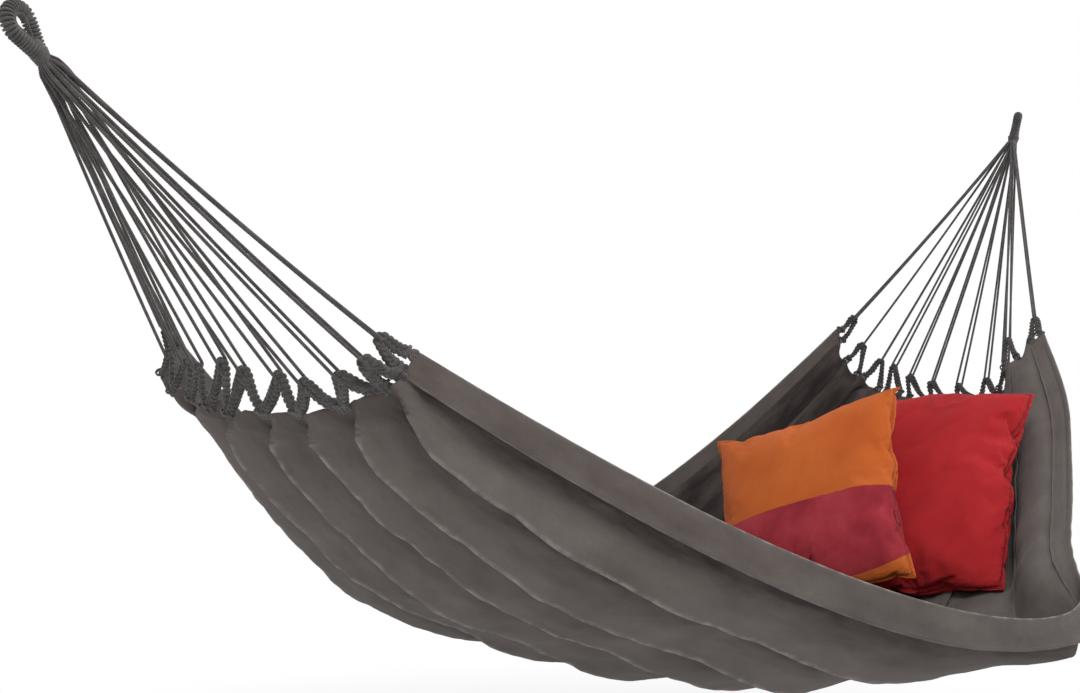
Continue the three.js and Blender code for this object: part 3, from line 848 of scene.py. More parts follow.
def lifted(u, lifts):
    return sum(lift * hump(u, place, wide) for place, wide, lift in lifts)


def inner_painted_light_and_shade(u, w, fold):
    """The inner side's painted light and shade: painted light where the side curls in, deep painted shade
    beyond the cushions.
    """
    lit = curl_share(u) * eased(w, *LIT_ACROSS)
    # Painted shade in the hollow beyond the cushions
    deep = eased(w, *DEEP_SHADE_ACROSS) * eased(u, *DEEP_SHADE_ALONG)
    return INNER_SHADE_TONE + (LIT_TONE - INNER_SHADE_TONE) * lit - (INNER_SHADE_TONE - DEEP_SHADE_TONE * (1 + fold)) * deep


def folded_section(u, columns):
    """One cross-section: its smooth points and normals, how far each point drops, its painted light and
    shade, and its pale crest lines.
    """
    edges = fold_edges(u)
    w = columns.across(edges)
    share, side, from_hem = columns.share, columns.side, columns.from_hem
    fold, hung, crest = fold_shape(u, share)
    where = np.stack([np.full(len(w), u * 1.3), (columns.panel + 0.5) * side, side], axis=-1)
    uneven = 1 + FOLD_UNEVEN * perlin(where, 1.0, 21, 2)
    wander = FOLD_WANDER * perlin(where, 0.6, 22, 2) * fold * hung
    slide = CREST_LEAN * (1 - crest) * fold**1.5 * hung + wander
    slid = np.clip(w + side * slide * np.diff(edges)[columns.row], 0, 1)
    tucked = columns.tucked
    across = between_hems(u, slid + SLOPE_STEP, tucked) - between_hems(u, slid - SLOPE_STEP, tucked)
    ahead = between_hems(min(u + SLOPE_STEP, 1), slid, tucked)
    behind = between_hems(max(u - SLOPE_STEP, -1), slid, tucked)
    # Under the cushions the cloth is pulled smooth, and where the side curls in its folds lie flat
    calm = eased(u, *CALM_ALONG) * smooth_step(from_hem - 1.2) * CALM_FAR
    curled = curl_share(u) * (side > 0) * smooth_step(2 - from_hem)
    uneven = uneven * (1 - np.maximum(calm, CALM_CURLED * curled))
    depth = lerp(PLEAT_DEPTH, lerp(FOLD_MIDDLE, FOLD_ENDS, abs(u) ** 0.8) * uneven, hung)
    lift = lerp(FOLD_LIFT_MIDDLE, FOLD_LIFT_ENDS, abs(u)) * hung
    belly = lifted(u, BELLY_LIFTS) * smooth_step(from_hem / 1.4)
    raised = lerp(belly, lifted(u, OFF_SIDE_LIFTS), eased(w, *OFF_SIDE_FROM))
    tucked_in = lerp(columns.tuck, -CURLED_TUCK * np.exp(-from_hem / 0.15), curled)
    # Painted shade: darker just under the fold above, and on the undercut past the crest
    shaded = np.clip((share - 0.05 * (columns.panel > 0)) / SHADED_FROM, 0, 1) * (share < crest + 0.02)
    return {
        "w": w,
        "middle": between_hems(u, slid, tucked),
        "normal": unit(np.cross(ahead - behind, across)),
        "drop": depth * (fold - lift * (1 - curled)) * columns.inside - (tucked_in + raised) * hung,
        "painted_light_and_shade": lerp(0.5, shaded, hung),
        "inner_painted_light_and_shade": inner_painted_light_and_shade(u, w, fold),
        # Pale crest line: partly wear, partly a painted highlight
        "wear_and_highlight": hump(share, crest, CREST_WORN_AND_LIT) * hung * (share > 0),
    }


def crumpled(bed, stations, columns):
    """The folded sheet with its soft wrinkles, its gathers at the ends and its dents."""
    middle = bed["middle"]
    ruffle = perlin(middle * [0.45, 1, 1], 0.12, 3) * RUFFLE
    slanted = middle @ np.array([[1, 0, 0], [0.7, 1, 0.7], [0, 0, 1]])
    diagonal = perlin(slanted * [0.5, 1, 1], 0.055, 5) * SLANT
    gathered = np.stack(np.broadcast_arrays(stations[:, None] * 1.2, bed["w"] * 9, 0.0), axis=-1)
    near_ends = np.exp(-(1 - np.abs(stations)[:, None]) / GATHER_RUN)
    gather = perlin(gathered, 0.22, 8) * GATHER * near_ends
    drop = bed["drop"] + (ruffle + diagonal + gather) * columns.inside
    middle = middle - bed["normal"] * drop[..., None]
    for x, y, wide, depth in DENTS:
        away = np.hypot(middle[..., 0] - x, middle[..., 1] - y)
        dent = depth * hump(away, 0, wide) * smooth_step(columns.from_hem / 1.2)
        middle = middle - UP * dent[..., None]
    return middle


def scallops(end, w):
    """How far the end edge hangs back between the feet of its braid loops."""
    feet = np.array([0.0, *FEET[end], 1.0])
    after = np.clip(np.searchsorted(feet, w, side="right"), 1, len(feet) - 1)
    wide = feet[after] - feet[after - 1]
    share = np.clip((w - feet[after - 1]) / wide, 0, 1)
    hollow = SCALLOP[end] * np.clip(wide * PLEATS, 0, 1) * np.sin(math.pi * share) ** 1.3
    if end > 0:
        # The curled side reaches up beside its hem as far as the hem does
        hollow = hollow - FLAP_RISE * smooth_step(1 - w / feet[1])
    return hollow


def scalloped(middle, run, stations, w):
    """The sheet with its end edges hung back between the feet of the braid loops."""
    from_end = np.minimum(run, run[-1] - run)
    hollow = np.where(stations[:, None] < 0, scallops(-1, w[0])[None, :], scallops(1, w[-1])[None, :])
    pull = hollow * smooth_step(1 - from_end / SCALLOP_RUN)
    toward_middle = -np.sign(stations)[:, None, None] * unit(np.gradient(middle, axis=0))
    return middle + toward_middle * pull[..., None]


def thick_sheet(middle):
    """Points and faces of cloth with its thickness round a grid of points."""
    normal = unit(np.cross(np.gradient(middle, axis=0), np.gradient(middle, axis=1)))
    half = normal * (CLOTH_THICK / 2)
    index = np.arange(middle.shape[0] * middle.shape[1]).reshape(middle.shape[:2])
    top = grid_quads(index)
    rim = grid_rim(index)
    ahead = np.roll(rim, -1)
    wall = np.stack([rim, ahead, ahead + index.size, rim + index.size], axis=-1)
    faces = np.concatenate([top, top[:, ::-1] + index.size, wall]).tolist()
    return np.concatenate([(middle + half).reshape(-1, 3), (middle - half).reshape(-1, 3)]), faces


def make_bed():
    even = np.linspace(-0.5, 0.5, SHEET_ALONG + 1)
    stations = (2 - END_CROWDING) * even + END_CROWDING * np.sin(math.pi * even) / 2
    stations = stations / stations[-1]
    columns = Columns()
    sections = [folded_section(u, columns) for u in stations]
    bed = {key: np.array([section[key] for section in sections]) for key in sections[0]}
    middle = crumpled(bed, stations, columns)
    run = run_along(middle)
    points, faces = thick_sheet(scalloped(middle, run, stations, bed["w"]))
    cut_width = float(section_at(0.0)[1][-1] - 2 * HEM_WIDTH)
    mid_run = run[:, columns.place.size // 2]
    cut = grid_uv(columns.even_w * cut_width, mid_run).reshape(-1, 2)
    sheet = make_object("bed_sheet", points, faces, CLOTH_MATERIAL, np.concatenate([cut, cut]))
    # Pale crest lines on the outer side only, partly wear and partly a painted highlight
    mark_points(sheet, "wear_and_highlight", np.stack([bed["wear_and_highlight"] * 0, bed["wear_and_highlight"]]))
    # Painted light and shade on both sides of the sheet
    mark_points(sheet, "painted_light_and_shade", np.stack([bed["inner_painted_light_and_shade"], bed["painted_light_and_shade"]]))
    dress(sheet, "sling", "cloth_bed")
    return sheet, (cut_width, float(mid_run[-1]))


# Side hems: a turned and stitched band along each long edge

HEM_STATIONS = 360
HEM_LIFT = 2.5 * MM
EDGE_RISE = 5 * MM
HEM_WAVE = 2.0 * MM
HEM_PUCKER = 0.4 * MM
HEM_FLARE = 3.5 * MM
HEM_FLARE_FROM = (0.78, 0.92)
HEM_CREASE = 4 * MM
HEM_CREASE_AT = 0.30
HEM_CREASE_WIDE = 0.05
HEM_CREASE_FROM = (0.42, 0.54)
HEM_CREASE_TO = (0.99, 0.93)
HEM_LIT_FROM = (0.02, 0.42)
HEM_SHADE_TONE = 0.50
STITCH_LENGTH = 3.4 * MM
STITCH_GAP = 1.4 * MM
STITCH_RADIUS = 0.32 * MM
STITCH_INSET = 6 * MM

# Places across the band from its free edge to its seam, and how full the band is at each
HEM_PLACES, HEM_FULLNESS = np.array([
    (0.0, 0.35), (0.015, 0.85), (0.05, 1.1), (0.13, 1.0), (0.2, 0.95), (0.25, 0.92), (0.3, 0.9),
    (0.35, 0.9), (0.4, 0.88), (0.5, 0.88), (0.7, 0.86), (0.84, 0.8), (0.885, 0.5), (0.93, 0.78),
    (0.975, 0.85), (0.99, 0.85), (1.0, 0.6),
]).T


def hem_column(place):
    return int(np.argmin(np.abs(HEM_PLACES - place)))


def hem_line(u, distance, off_side):
    total = section_at(u)[1][-1]
    return formed(u, total - distance if off_side else distance)


def hem_rows(off_side):
    """Points across the band from the free edge inwards, and the outer side's normal, at each station."""
    stations = np.linspace(-1, 1, HEM_STATIONS + 1)
    middle = np.array([hem_line(u, HEM_PLACES * hem_width_at(u), off_side) for u in stations])
    down = np.array([-upper_normal(u, 1.0 if off_side else 0.0) for u in stations])
    along = unit(np.gradient(middle, axis=0))
    across = unit(np.gradient(middle, axis=1))
    normal = unit(np.cross(along, across))
    flip = np.sign(np.sum(normal * down[:, None, :], axis=-1, keepdims=True))
    return stations, middle, normal * flip


def hem_shift(middle, stations, ends, off_side):
    """How far the band stands out from the bed's own surface, with its waves and puckers."""
    loose = 1 - HEM_PLACES**3
    wave = perlin(middle, 0.16, 11 + off_side, 2) * HEM_WAVE * loose
    pucker = perlin(middle, 0.014, 17, 1) * HEM_PUCKER * smooth_step((HEM_PLACES - 0.7) / 0.2)
    shift = HEM_LIFT * ends[:, None] * loose + wave + pucker
    if not off_side:
        # The band is folded lengthwise where the side curls in
        creased = eased(stations, *HEM_CREASE_FROM) * eased(stations, *HEM_CREASE_TO)
        line = hump(HEM_PLACES, HEM_CREASE_AT, HEM_CREASE_WIDE)
        shift = shift + HEM_CREASE * creased[:, None] * line
    return shift


def make_hem(off_side):
    label = "off_side" if off_side else "near_side"
    stations, middle, out = hem_rows(off_side)
    ends = 1 - np.abs(stations) ** 8
    rise = EDGE_RISE * (1 - HEM_PLACES) * ends[:, None]
    shift = hem_shift(middle, stations, ends, off_side)
    middle = middle + out * shift[..., None] + UP * rise[..., None]
    half = HEM_THICK / 2 * HEM_FULLNESS[None, :, None]
    flare = HEM_FLARE * eased(HEM_PLACES, *HEM_FLARE_FROM) * ends[:, None]
    outer = middle + out * (half + flare[..., None])
    inner = middle - out * half
    rings = np.concatenate([outer, inner[:, ::-1]], axis=1)
    width = HEM_PLACES * HEM_WIDTH
    girth = np.concatenate([width, 2 * HEM_WIDTH - width[::-1]])
    if off_side:
        rings = rings[:, ::-1]
        girth = girth[::-1]
    heap = Heap()
    heap.add_rings(rings, grid_uv(girth, run_along(middle[:, hem_column(0.5)])))
    band = heap.build(label + "_hem_band", CLOTH_MATERIAL)
    # Pale free edge and seam of the band: partly wear, partly a painted highlight
    worn_and_lit = hump(HEM_PLACES, 0, 0.03) + 0.6 * hump(HEM_PLACES, 1, 0.02)
    mark_points(band, "wear_and_highlight", np.tile(np.concatenate([worn_and_lit, worn_and_lit[::-1]]), len(stations)))
    # Painted shade on the near hem, and painted light where it curls in towards the far end
    lit = 1.0 if off_side else eased(stations, *HEM_LIT_FROM)
    painted_light_and_shade = lerp(HEM_SHADE_TONE, LIT_TONE, np.broadcast_to(lit, stations.shape))
    mark_points(band, "painted_light_and_shade", np.repeat(painted_light_and_shade, rings.shape[1]))
    dress(band, "sling", label + "_hem")
    make_stitches(label, out, ((outer, 1.0), (inner, -1.0)))


def make_stitches(label, out, surfaces):
    """A row of stitches by the seam on each side of a hem."""
    stitches = Heap()
    column = hem_column(1 - STITCH_INSET / HEM_WIDTH)
    radii = STITCH_RADIUS * np.array([0.5, 1, 1, 0.5])
    for surface, way in surfaces:
        sewn = surface[:, column] + way * out[:, column] * STITCH_RADIUS * 0.4
        line = resample(sewn, STITCH_LENGTH + STITCH_GAP)
        ways = unit(np.gradient(line, axis=0))
        for point, direction in zip(line[1:-1], ways[1:-1]):
            reach = direction * STITCH_LENGTH / 2
            add_cord(stitches, [point + reach * share for share in (-1, -0.6, 0.6, 1)], radii, 5)
    dress(stitches.build(label + "_hem_stitches", THREAD_MATERIAL), "sling")


# Braid loops: each a plait of thick laid strands from one foot round its eye to the other

PLAIT_STRAND = {-1: 7.2 * MM, 1: 6.0 * MM}
PLAIT_WIDE = {-1: 4.8 * MM, 1: 3.9 * MM}
PLAIT_DEEP = 2.9 * MM
PLAIT_PERIOD = 24 * MM
PLAIT_LAY = 11 * MM
ROOT_SPREAD = 6 * MM
ROOT_RUN = 13 * MM
ROOT_SUNK = 4 * MM
BRAID_SLUMP = 7 * MM
BINDING_RADIUS = 1.3 * MM
BINDING_TURNS = 2.3

# Millimetres by which each end's loops hang aside to the camera's right and up
EYE_SHIFTS = {
    -1: {
        1: (-4, 1), 2: (6, 1), 3: (16, 7), 4: (28, 26), 5: (19, 27),
        6: (20, 22), 7: (20, 22), 8: (14, 14), 9: (8, 8),
    },
    1: {3: (-12, 0), 4: (-20, -12), 5: (-29, -16), 6: (-32, 8), 7: (-17, 15), 8: (-3, 5), 9: (-6, 5)},
}
# The near end's loops by the side hem are doubled: a second plait lies inside the first
DOUBLED = range(1, 7)
DOUBLED_STEP = 12 * MM
OFF_SIDE_THIN = 0.72


def hem_foot(u, off_side):
    """The middle of a hem's end, and the line across it from its free edge to its seam."""
    edge, inner = hem_line(u, np.array([0.0, hem_width_at(u)]), off_side)
    return (edge + inner) / 2, unit(inner - edge)


def braid_feet(end, index):
    """A braid loop's base, its two feet, the way it leaves the cloth and the line between the feet."""
    u = float(end)
    if index in (0, PLEATS):
        centre, line = hem_foot(u, index == PLEATS)
        out = unit(centre - hem_foot(inwards(u), index == PLEATS)[0])
        feet = [centre + line * d for d in (-HEM_FOOT_HALF, HEM_FOOT_HALF)]
        return centre, feet, unit(out - line * (out @ line)), line
    places = FEET[end][2 * index - 2 : 2 * index]
    w = sum(places) / 2
    feet = [edge_point(u, place) for place in places]
    line = unit(feet[1] - feet[0])
    out = lengthwise(u, w) * end
    return edge_point(u, w), feet, unit(out - line * (out @ line)), line


def half_turn(steps):
    return np.linspace(-math.pi / 2, math.pi / 2, steps + 1)


def braid_shape(end, index, within=0.0):
    """A braid loop's middle line and eye, or those of a loop that lies within it."""
    base, feet, face, line = braid_feet(end, index)
    to_neck = unit(NECK[end] - base)
    spread = unit(line - to_neck * (line @ to_neck))
    bend = BRAID_DIA / 2 + BRAID_SLACK
    uneven = 1 - 0.16 * abs(math.sin(index * 2.3 + end))
    aside, up = EYE_SHIFTS[end].get(index, (0, 0))
    eye = base + to_neck * (BRAID_LENGTH * uneven - bend) + PHOTO_RIGHT * aside * MM + UP * up * MM
    eye = eye - unit(eye - base) * within
    arc = [eye + spread * bend * math.sin(a) + to_neck * bend * math.cos(a) for a in half_turn(8)]
    legs = []
    for foot, top in ((feet[0], arc[0]), (feet[1], arc[-1])):
        rooted = foot + face * BRAID_DIA * 0.7
        slump = BRAID_SLUMP * min(float(np.linalg.norm(top - rooted)) / BRAID_LENGTH, 1)
        legs.append([foot, rooted, (rooted + top) / 2 - UP * slump])
    return {
        "path": [*legs[0], *arc, *legs[1][::-1]],
        "feet": feet,
        "face": face,
        "line": line,
        "eye": eye,
        "to_neck": to_neck,
        "spread": spread,
        "bend": bend,
        "depth": unit(np.cross(spread, to_neck)),
    }


def add_plait(heap, shape, end, start_phase, thin):
    """Three laid strands plaited along a loop's middle line, spread flat where they leave the cloth."""
    line = rounded(shape["path"], 1.3 * MM, 6)
    ways, _, _ = carried_frames(line)
    wide_way = unit(np.cross(np.broadcast_to(shape["depth"], ways.shape), ways))
    run = np.arange(len(line)) * np.linalg.norm(line[1] - line[0])
    length = run[-1]
    root = smooth_step(1 - np.minimum(run, length - run) / ROOT_RUN)
    slack = 1 + 0.3 * np.sin(run / length * 9 + start_phase)
    for strand in range(3):
        phase = 2 * math.pi * (run / PLAIT_PERIOD + strand / 3) + start_phase
        wide = lerp(PLAIT_WIDE[end] * thin * slack * np.sin(phase), (strand - 1) * ROOT_SPREAD, root)
        deep = PLAIT_DEEP * np.sin(2 * phase) * (1 - root)
        path = line + wide_way * wide[:, None] + shape["depth"] * deep[:, None]
        inward = -shape["face"] * ROOT_SUNK
        path = np.concatenate([[path[0] + inward], path, [path[-1] + inward]])
        add_laid_rope(heap, path, PLAIT_STRAND[end] * thin, PLAIT_LAY, 1.3 * MM)


def add_binding(heap, foot, shape, wide, deep):
    """Some turns of thin cord round a braid loop's foot."""
    turns = np.linspace(0, 2 * math.pi * BINDING_TURNS, 44)
    ring = (
        foot
        + shape["face"] * (ROOT_RUN * 0.75)
        + np.cos(turns)[:, None] * shape["line"] * wide
        + np.sin(turns)[:, None] * shape["depth"] * deep
        + (turns / turns[-1] - 0.5)[:, None] * shape["face"] * 5 * MM
    )
    add_cord(heap, ring, BINDING_RADIUS, 6)


def make_braid(end, index, shape):
    label = f"{LABEL[end]}_braid"
    heap = Heap()
    thin = lerp(1.0, OFF_SIDE_THIN, smooth_step((index - 5) / 3)) if end < 0 else 1.0
    add_plait(heap, shape, end, index * 1.7, thin)
    if end < 0 and index in DOUBLED:
        add_plait(heap, braid_shape(end, index, DOUBLED_STEP), end, index * 1.7 + 2, thin)
    binding = PLAIT_STRAND[end] * thin * 0.6
    for foot in shape["feet"]:
        add_binding(heap, foot, shape, PLAIT_WIDE[end] * thin + binding, PLAIT_DEEP + binding)
    piece = heap.build(f"{label}_{index + 1:02d}_plait", CORD_MATERIAL)
    dress(piece, "sling", f"{label}_loop_{index + 1:02d}")


# Suspension cords: each runs from the neck round a braid loop's eye and back

LAY_PITCH = 10 * MM
OUTER_SAG = 7 * MM
INNER_SAG = 3 * MM
NECK_SQUEEZE = 0.6
CORD_TOP = 12 * MM
CORD_STEP = 1.3 * MM

# One leg of the spare bight in millimetres: how far down the cords, above them and aside
SPARE_DIA = 3.6 * MM
SPARE_LEG = ((2, 9, 3), (14, 13, 3.5), (30, 12, 3.5), (44, 9, 3), (50, 7.5, 1))


def loop_axis(end):
    return np.array([end * math.cos(LOOP_LEAN[end]), 0.0, math.sin(LOOP_LEAN[end])])


def fan_axis(end):
    return np.array([-end * math.cos(FAN_DROP), 0.0, -math.sin(FAN_DROP)])


def neck_slots(count):
    """Places for the cords' sections side by side in the bundle, from its middle outwards."""
    slots = []
    reach = math.ceil(math.sqrt(count))
    for row in range(-reach, reach + 1):
        for column in range(-reach, reach + 1):
            aside = (column + (abs(row) % 2) / 2) * CORD_PITCH
            slots.append((aside, row * CORD_PITCH * math.sqrt(0.75)))
    slots.sort(key=lambda s: (round(math.hypot(*s), 9), round(s[0], 9), round(s[1], 9)))
    return slots[:count]


def match_slots(slots, targets):
    """Swap slots while that shortens the cords, which leaves no two crossing."""
    order = list(range(len(slots)))
    swapped = True
    while swapped:
        swapped = False
        for i in range(len(order)):
            for j in range(i + 1, len(order)):
                step = np.subtract(slots[order[i]], slots[order[j]])
                if float(step @ np.subtract(targets[i], targets[j])) < -1e-7:
                    order[i], order[j] = order[j], order[i]
                    swapped = True
    return [slots[k] for k in order]


def run_down(end, slot, target, sag):
    """From inside the whipping down to one side of a bight."""
    neck = NECK[end]
    axis = fan_axis(end)
    upwards = unit(np.cross(axis, SIDEWAYS))
    lift = loop_axis(end)
    lift_up = unit(np.cross(-lift, SIDEWAYS))
    aside, up = slot
    squeezed = np.array([aside, up]) * NECK_SQUEEZE
    top = neck + lift * CORD_TOP + SIDEWAYS * squeezed[0] + lift_up * squeezed[1]
    knee = neck + SIDEWAYS * squeezed[0] + upwards * squeezed[1]
    spread = (SIDEWAYS * aside + upwards * up) * BUNDLE_SPREAD[end]
    below = neck + axis * (PIVOT_BALL + BUNDLE_STRAIGHT) + spread
    share = np.linspace(0, 1, 40)[:, None]
    hang = below + (target - below) * share - UP * (sag * 4 * share * (1 - share))
    return [top, knee, *hang]


def make_fan(end):
    neck = NECK[end]
    axis = fan_axis(end)
    upwards = unit(np.cross(axis, SIDEWAYS))
    shapes = [braid_shape(end, i) for i in range(PLEATS + 1)]
    radius = (BRAID_DIA + CORD_CAD_DIA) / 2 + SEAT_GAP
    centres = [shape["eye"] + shape["to_neck"] * shape["bend"] for shape in shapes]
    ends = [
        centre + shape["depth"] * side * radius
        for centre, shape in zip(centres, shapes)
        for side in (-1, 1)
    ]
    flat = [((p - neck) @ SIDEWAYS, (p - neck) @ upwards) for p in ends]
    slots = match_slots(neck_slots(len(ends)), flat)
    for i, (centre, shape) in enumerate(zip(centres, shapes)):
        make_braid(end, i, shape)
        from_edge = min(i, PLEATS - i) / (PLEATS / 2)
        sag = lerp(OUTER_SAG, INNER_SAG, smooth_step(from_edge * 2.5))
        arc = [
            centre + shape["depth"] * radius * math.sin(a) - shape["to_neck"] * radius * math.cos(a)
            for a in half_turn(10)
        ]
        down = run_down(end, slots[2 * i], arc[0], sag)
        back = run_down(end, slots[2 * i + 1], arc[-1], sag * 0.8)
        heap = Heap()
        path = [*down, *arc[1:-1], *back[::-1]]
        add_laid_rope(heap, path, CORD_DIA, LAY_PITCH, CORD_STEP, i * 1.1)
        label = f"{LABEL[end]}_cord_{i + 1:02d}"
        piece = heap.build(label + "_laid", CORD_MATERIAL)
        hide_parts(label)
        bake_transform(piece)


def make_spare_bight():
    """The rest of the binding cord, which lies doubled on the near end's bundle."""
    neck = NECK[-1]
    down = unit(braid_shape(-1, 0)["eye"] - neck)
    above = unit(UP - down * (UP @ down))
    across = np.cross(down, above)
    path = []
    for side in (-1, 1):
        leg = [neck + (down * d + above * h + across * side * w) * MM for d, h, w in SPARE_LEG]
        path.extend(leg if side < 0 else leg[::-1])
    heap = Heap()
    add_laid_rope(heap, path, SPARE_DIA, 8 * MM, 1.2 * MM)
    dress(heap.build("near_spare_bight", CORD_MATERIAL), "near_loop")


# End loops: a rope teardrop covered with half hitches, and a whipping round its neck

LOOP_START = 5 * MM
ROPE_LAY = 34 * MM
HITCHES = 34
HITCH_STEPS = 18
HITCH_RADIUS = 1.75 * MM
HITCH_WIND = LOOP_CORE_RADIUS + HITCH_RADIUS * 0.55
RIDGE_RADIUS = 1.5 * MM
RIDGE_SWING = 1.5 * MM
RIDGE_ASIDE = 3.2 * MM
RIDGE_PERIOD = 7.2 * MM
WHIP_TURNS = 6
WHIP_FOOT = -3 * MM
WHIP_HEAD = 11 * MM
WHIP_RADIUS = 1.35 * MM

# The rounded foot of each loop's rope: heights above the neck and radii
NECK_PROFILE = [
    (-PIVOT_BALL, 1 * MM),
    (-PIVOT_BALL * 0.5, PIVOT_BALL * 0.8),
    (0, PIVOT_BALL),
    (6 * MM, NECK_LOW_RADIUS),
    (NECK_HEIGHT * 0.6, 11 * MM),
    (NECK_HEIGHT, 11 * MM),
    (NECK_HEIGHT + 5 * MM, 8 * MM),
]


def loop_outline(end):
    """The teardrop's crown height and root angle, and the runs of its straights and its arch."""
    crown = LOOP_HEIGHT[end] - LOOP_BEND[end]
    angle = math.asin(LOOP_BEND[end] / (crown - LOOP_ROOT[end]))
    straight = (crown - LOOP_ROOT[end]) * math.cos(angle)
    return crown, angle, straight, LOOP_BEND[end] * (math.pi + 2 * angle)


def loop_point(end, distance):
    """The loop's centreline as (r, h), and the way out of the loop there."""
    crown, root, straight, arch = loop_outline(end)
    bend = LOOP_BEND[end]
    from_middle = distance - (straight + arch / 2)
    side = 1.0 if from_middle >= 0 else -1.0
    run = abs(from_middle)
    if run <= arch / 2:
        out_r, out_h = side * math.sin(run / bend), math.cos(run / bend)
        return bend * out_r, crown + bend * out_h, out_r, out_h
    left = straight - (run - arch / 2)
    out_r, out_h = side * math.cos(root), -math.sin(root)
    return -side * left * out_h, LOOP_ROOT[end] + side * left * out_r, out_r, out_h


def loop_space(end):
    """Gives places in the frame for the loop's own: across it, up its axis and out of its plane."""
    axis = loop_axis(end)
    flat = np.array([math.cos(LOOP_TWIST[end]), math.sin(LOOP_TWIST[end]), 0.0])
    across = unit(flat - axis * (flat @ axis))
    depth = unit(np.cross(axis, across))
    return lambda r, h, d: NECK[end] + across * r + axis * h + depth * d


def finish_loop_part(heap, end, name, node):
    piece = heap.build(f"{LABEL[end]}_{name}", CORD_MATERIAL)
    dress(piece, f"{LABEL[end]}_loop", f"{LABEL[end]}_{node}")


def make_loop_rope(end, spot, whole):
    """The rope inside, which shows between the hitches and above the whipping."""
    rope = Heap()
    distances = np.linspace(LOOP_START, whole - LOOP_START, 90)
    line = [spot(*loop_point(end, d)[:2], 0) for d in distances]
    add_laid_rope(rope, line, 2 * LOOP_CORE_RADIUS, ROPE_LAY, 1.6 * MM)
    around = np.linspace(0, 2 * math.pi, 24, endpoint=False)
    rings = [[spot(r * math.cos(a), h, r * math.sin(a)) for a in around] for h, r in NECK_PROFILE]
    rope.add_rings([ring[::-1] for ring in rings])
    finish_loop_part(rope, end, "loop_rope", "loop_core")


def make_hitches(end, spot, whole):
    """One serving cord hitched round the rope, closer together on the inside of the bend."""
    path = []
    for i in range(HITCHES * HITCH_STEPS + 1):
        turn = i / HITCH_STEPS
        part = turn - math.floor(turn)
        # Each turn lies square to the rope and steps on only at the inside spine
        onward = math.floor(turn) + smooth_step((part - 0.8) / 0.2)
        share = (whole - 2 * LOOP_START) * onward / HITCHES
        r, h, out_r, out_h = loop_point(end, LOOP_START + share)
        angle = 2 * math.pi * (part + 0.6)
        out = HITCH_WIND * math.cos(angle)
        path.append(spot(r + out * out_r, h + out * out_h, HITCH_WIND * math.sin(angle)))
    serving = Heap()
    add_cord(serving, path, HITCH_RADIUS, 8)
    # The hitches lock on each other in a ridge along the inside of the loop
    margin = LOOP_START + 4 * MM
    for strand in range(2):
        ridge = []
        for d in np.linspace(margin, whole - margin, 260):
            r, h, out_r, out_h = loop_point(end, d)
            phase = 2 * math.pi * d / RIDGE_PERIOD + strand * math.pi
            inner = HITCH_WIND + HITCH_RADIUS * (0.6 + 0.35 * math.cos(phase))
            swing = RIDGE_SWING * math.sin(phase)
            ridge.append(spot(r - inner * out_r, h - inner * out_h, swing - RIDGE_ASIDE))
        add_cord(serving, ridge, RIDGE_RADIUS, 7)
    finish_loop_part(serving, end, "loop_hitches", "loop_serving")


def make_whipping(end, spot):
    turns = np.linspace(0, WHIP_TURNS * 2 * math.pi, WHIP_TURNS * 24)
    wound = []
    for angle in turns:
        share = angle / turns[-1]
        h = lerp(WHIP_FOOT, WHIP_HEAD, share)
        r = lerp(NECK_LOW_RADIUS + 1 * MM, NECK_HIGH_RADIUS - 2.5 * MM, share)
        wound.append(spot(r * math.cos(angle), h, r * math.sin(angle)))
    whipping = Heap()
    add_cord(whipping, wound, WHIP_RADIUS, 8)
    finish_loop_part(whipping, end, "neck_wrap", "neck_whipping")


def make_end_loop(end):
    spot = loop_space(end)
    _, _, straight, arch = loop_outline(end)
    whole = 2 * straight + arch
    make_loop_rope(end, spot, whole)
    make_hitches(end, spot, whole)
    make_whipping(end, spot)


# Cushions: two square sheets sewn together all round and blown up, so that their seams pucker

BAG_CELLS = 72
BAG_FRAMES = 22
BAG_PRESSURE = 9.0
BAG_START = 2 * MM
WELT_RADIUS = 2.1 * MM
CREASE_DEPTH = 8 * MM
INSERT_SCALE = 0.86

# Shade and height of the cloth by its distance from a cushion's edge
SEAM_SHADE = [(0.0, grey(1)), (0.014, grey(1)), (0.019, grey(0.68)), (0.025, grey(0.94)), (0.05, grey(1))]
SEAM_DITCH = [(0.012, grey(1)), (0.02, grey(0)), (0.032, grey(1))]
SEAM_REACH = [(0.012, grey(1)), (0.085, grey(0))]

ORANGE_TONES = (linear(184, 84, 26), linear(198, 96, 34), linear(208, 106, 44))
CRIMSON_TONES = (linear(146, 34, 46), linear(162, 42, 54), linear(174, 54, 64))
RED_TONES = (linear(158, 22, 28), linear(174, 28, 34), linear(188, 40, 44))
CANVAS_PITCH = 1.6 * MM


def bag_faces(cells):
    """Quads of an upper and a lower sheet that share their border points, and the points in use."""
    row = cells + 1
    index = np.arange(row * row).reshape(row, row)
    border = np.zeros((row, row), bool)
    border[0, :] = border[-1, :] = border[:, 0] = border[:, -1] = True
    low = np.where(border, index, index + row * row)
    both = np.concatenate([grid_quads(index), grid_quads(low)[:, [0, 3, 2, 1]]])
    used, faces = np.unique(both, return_inverse=True)
    return faces.reshape(-1, 4).tolist(), used, grid_rim(index)


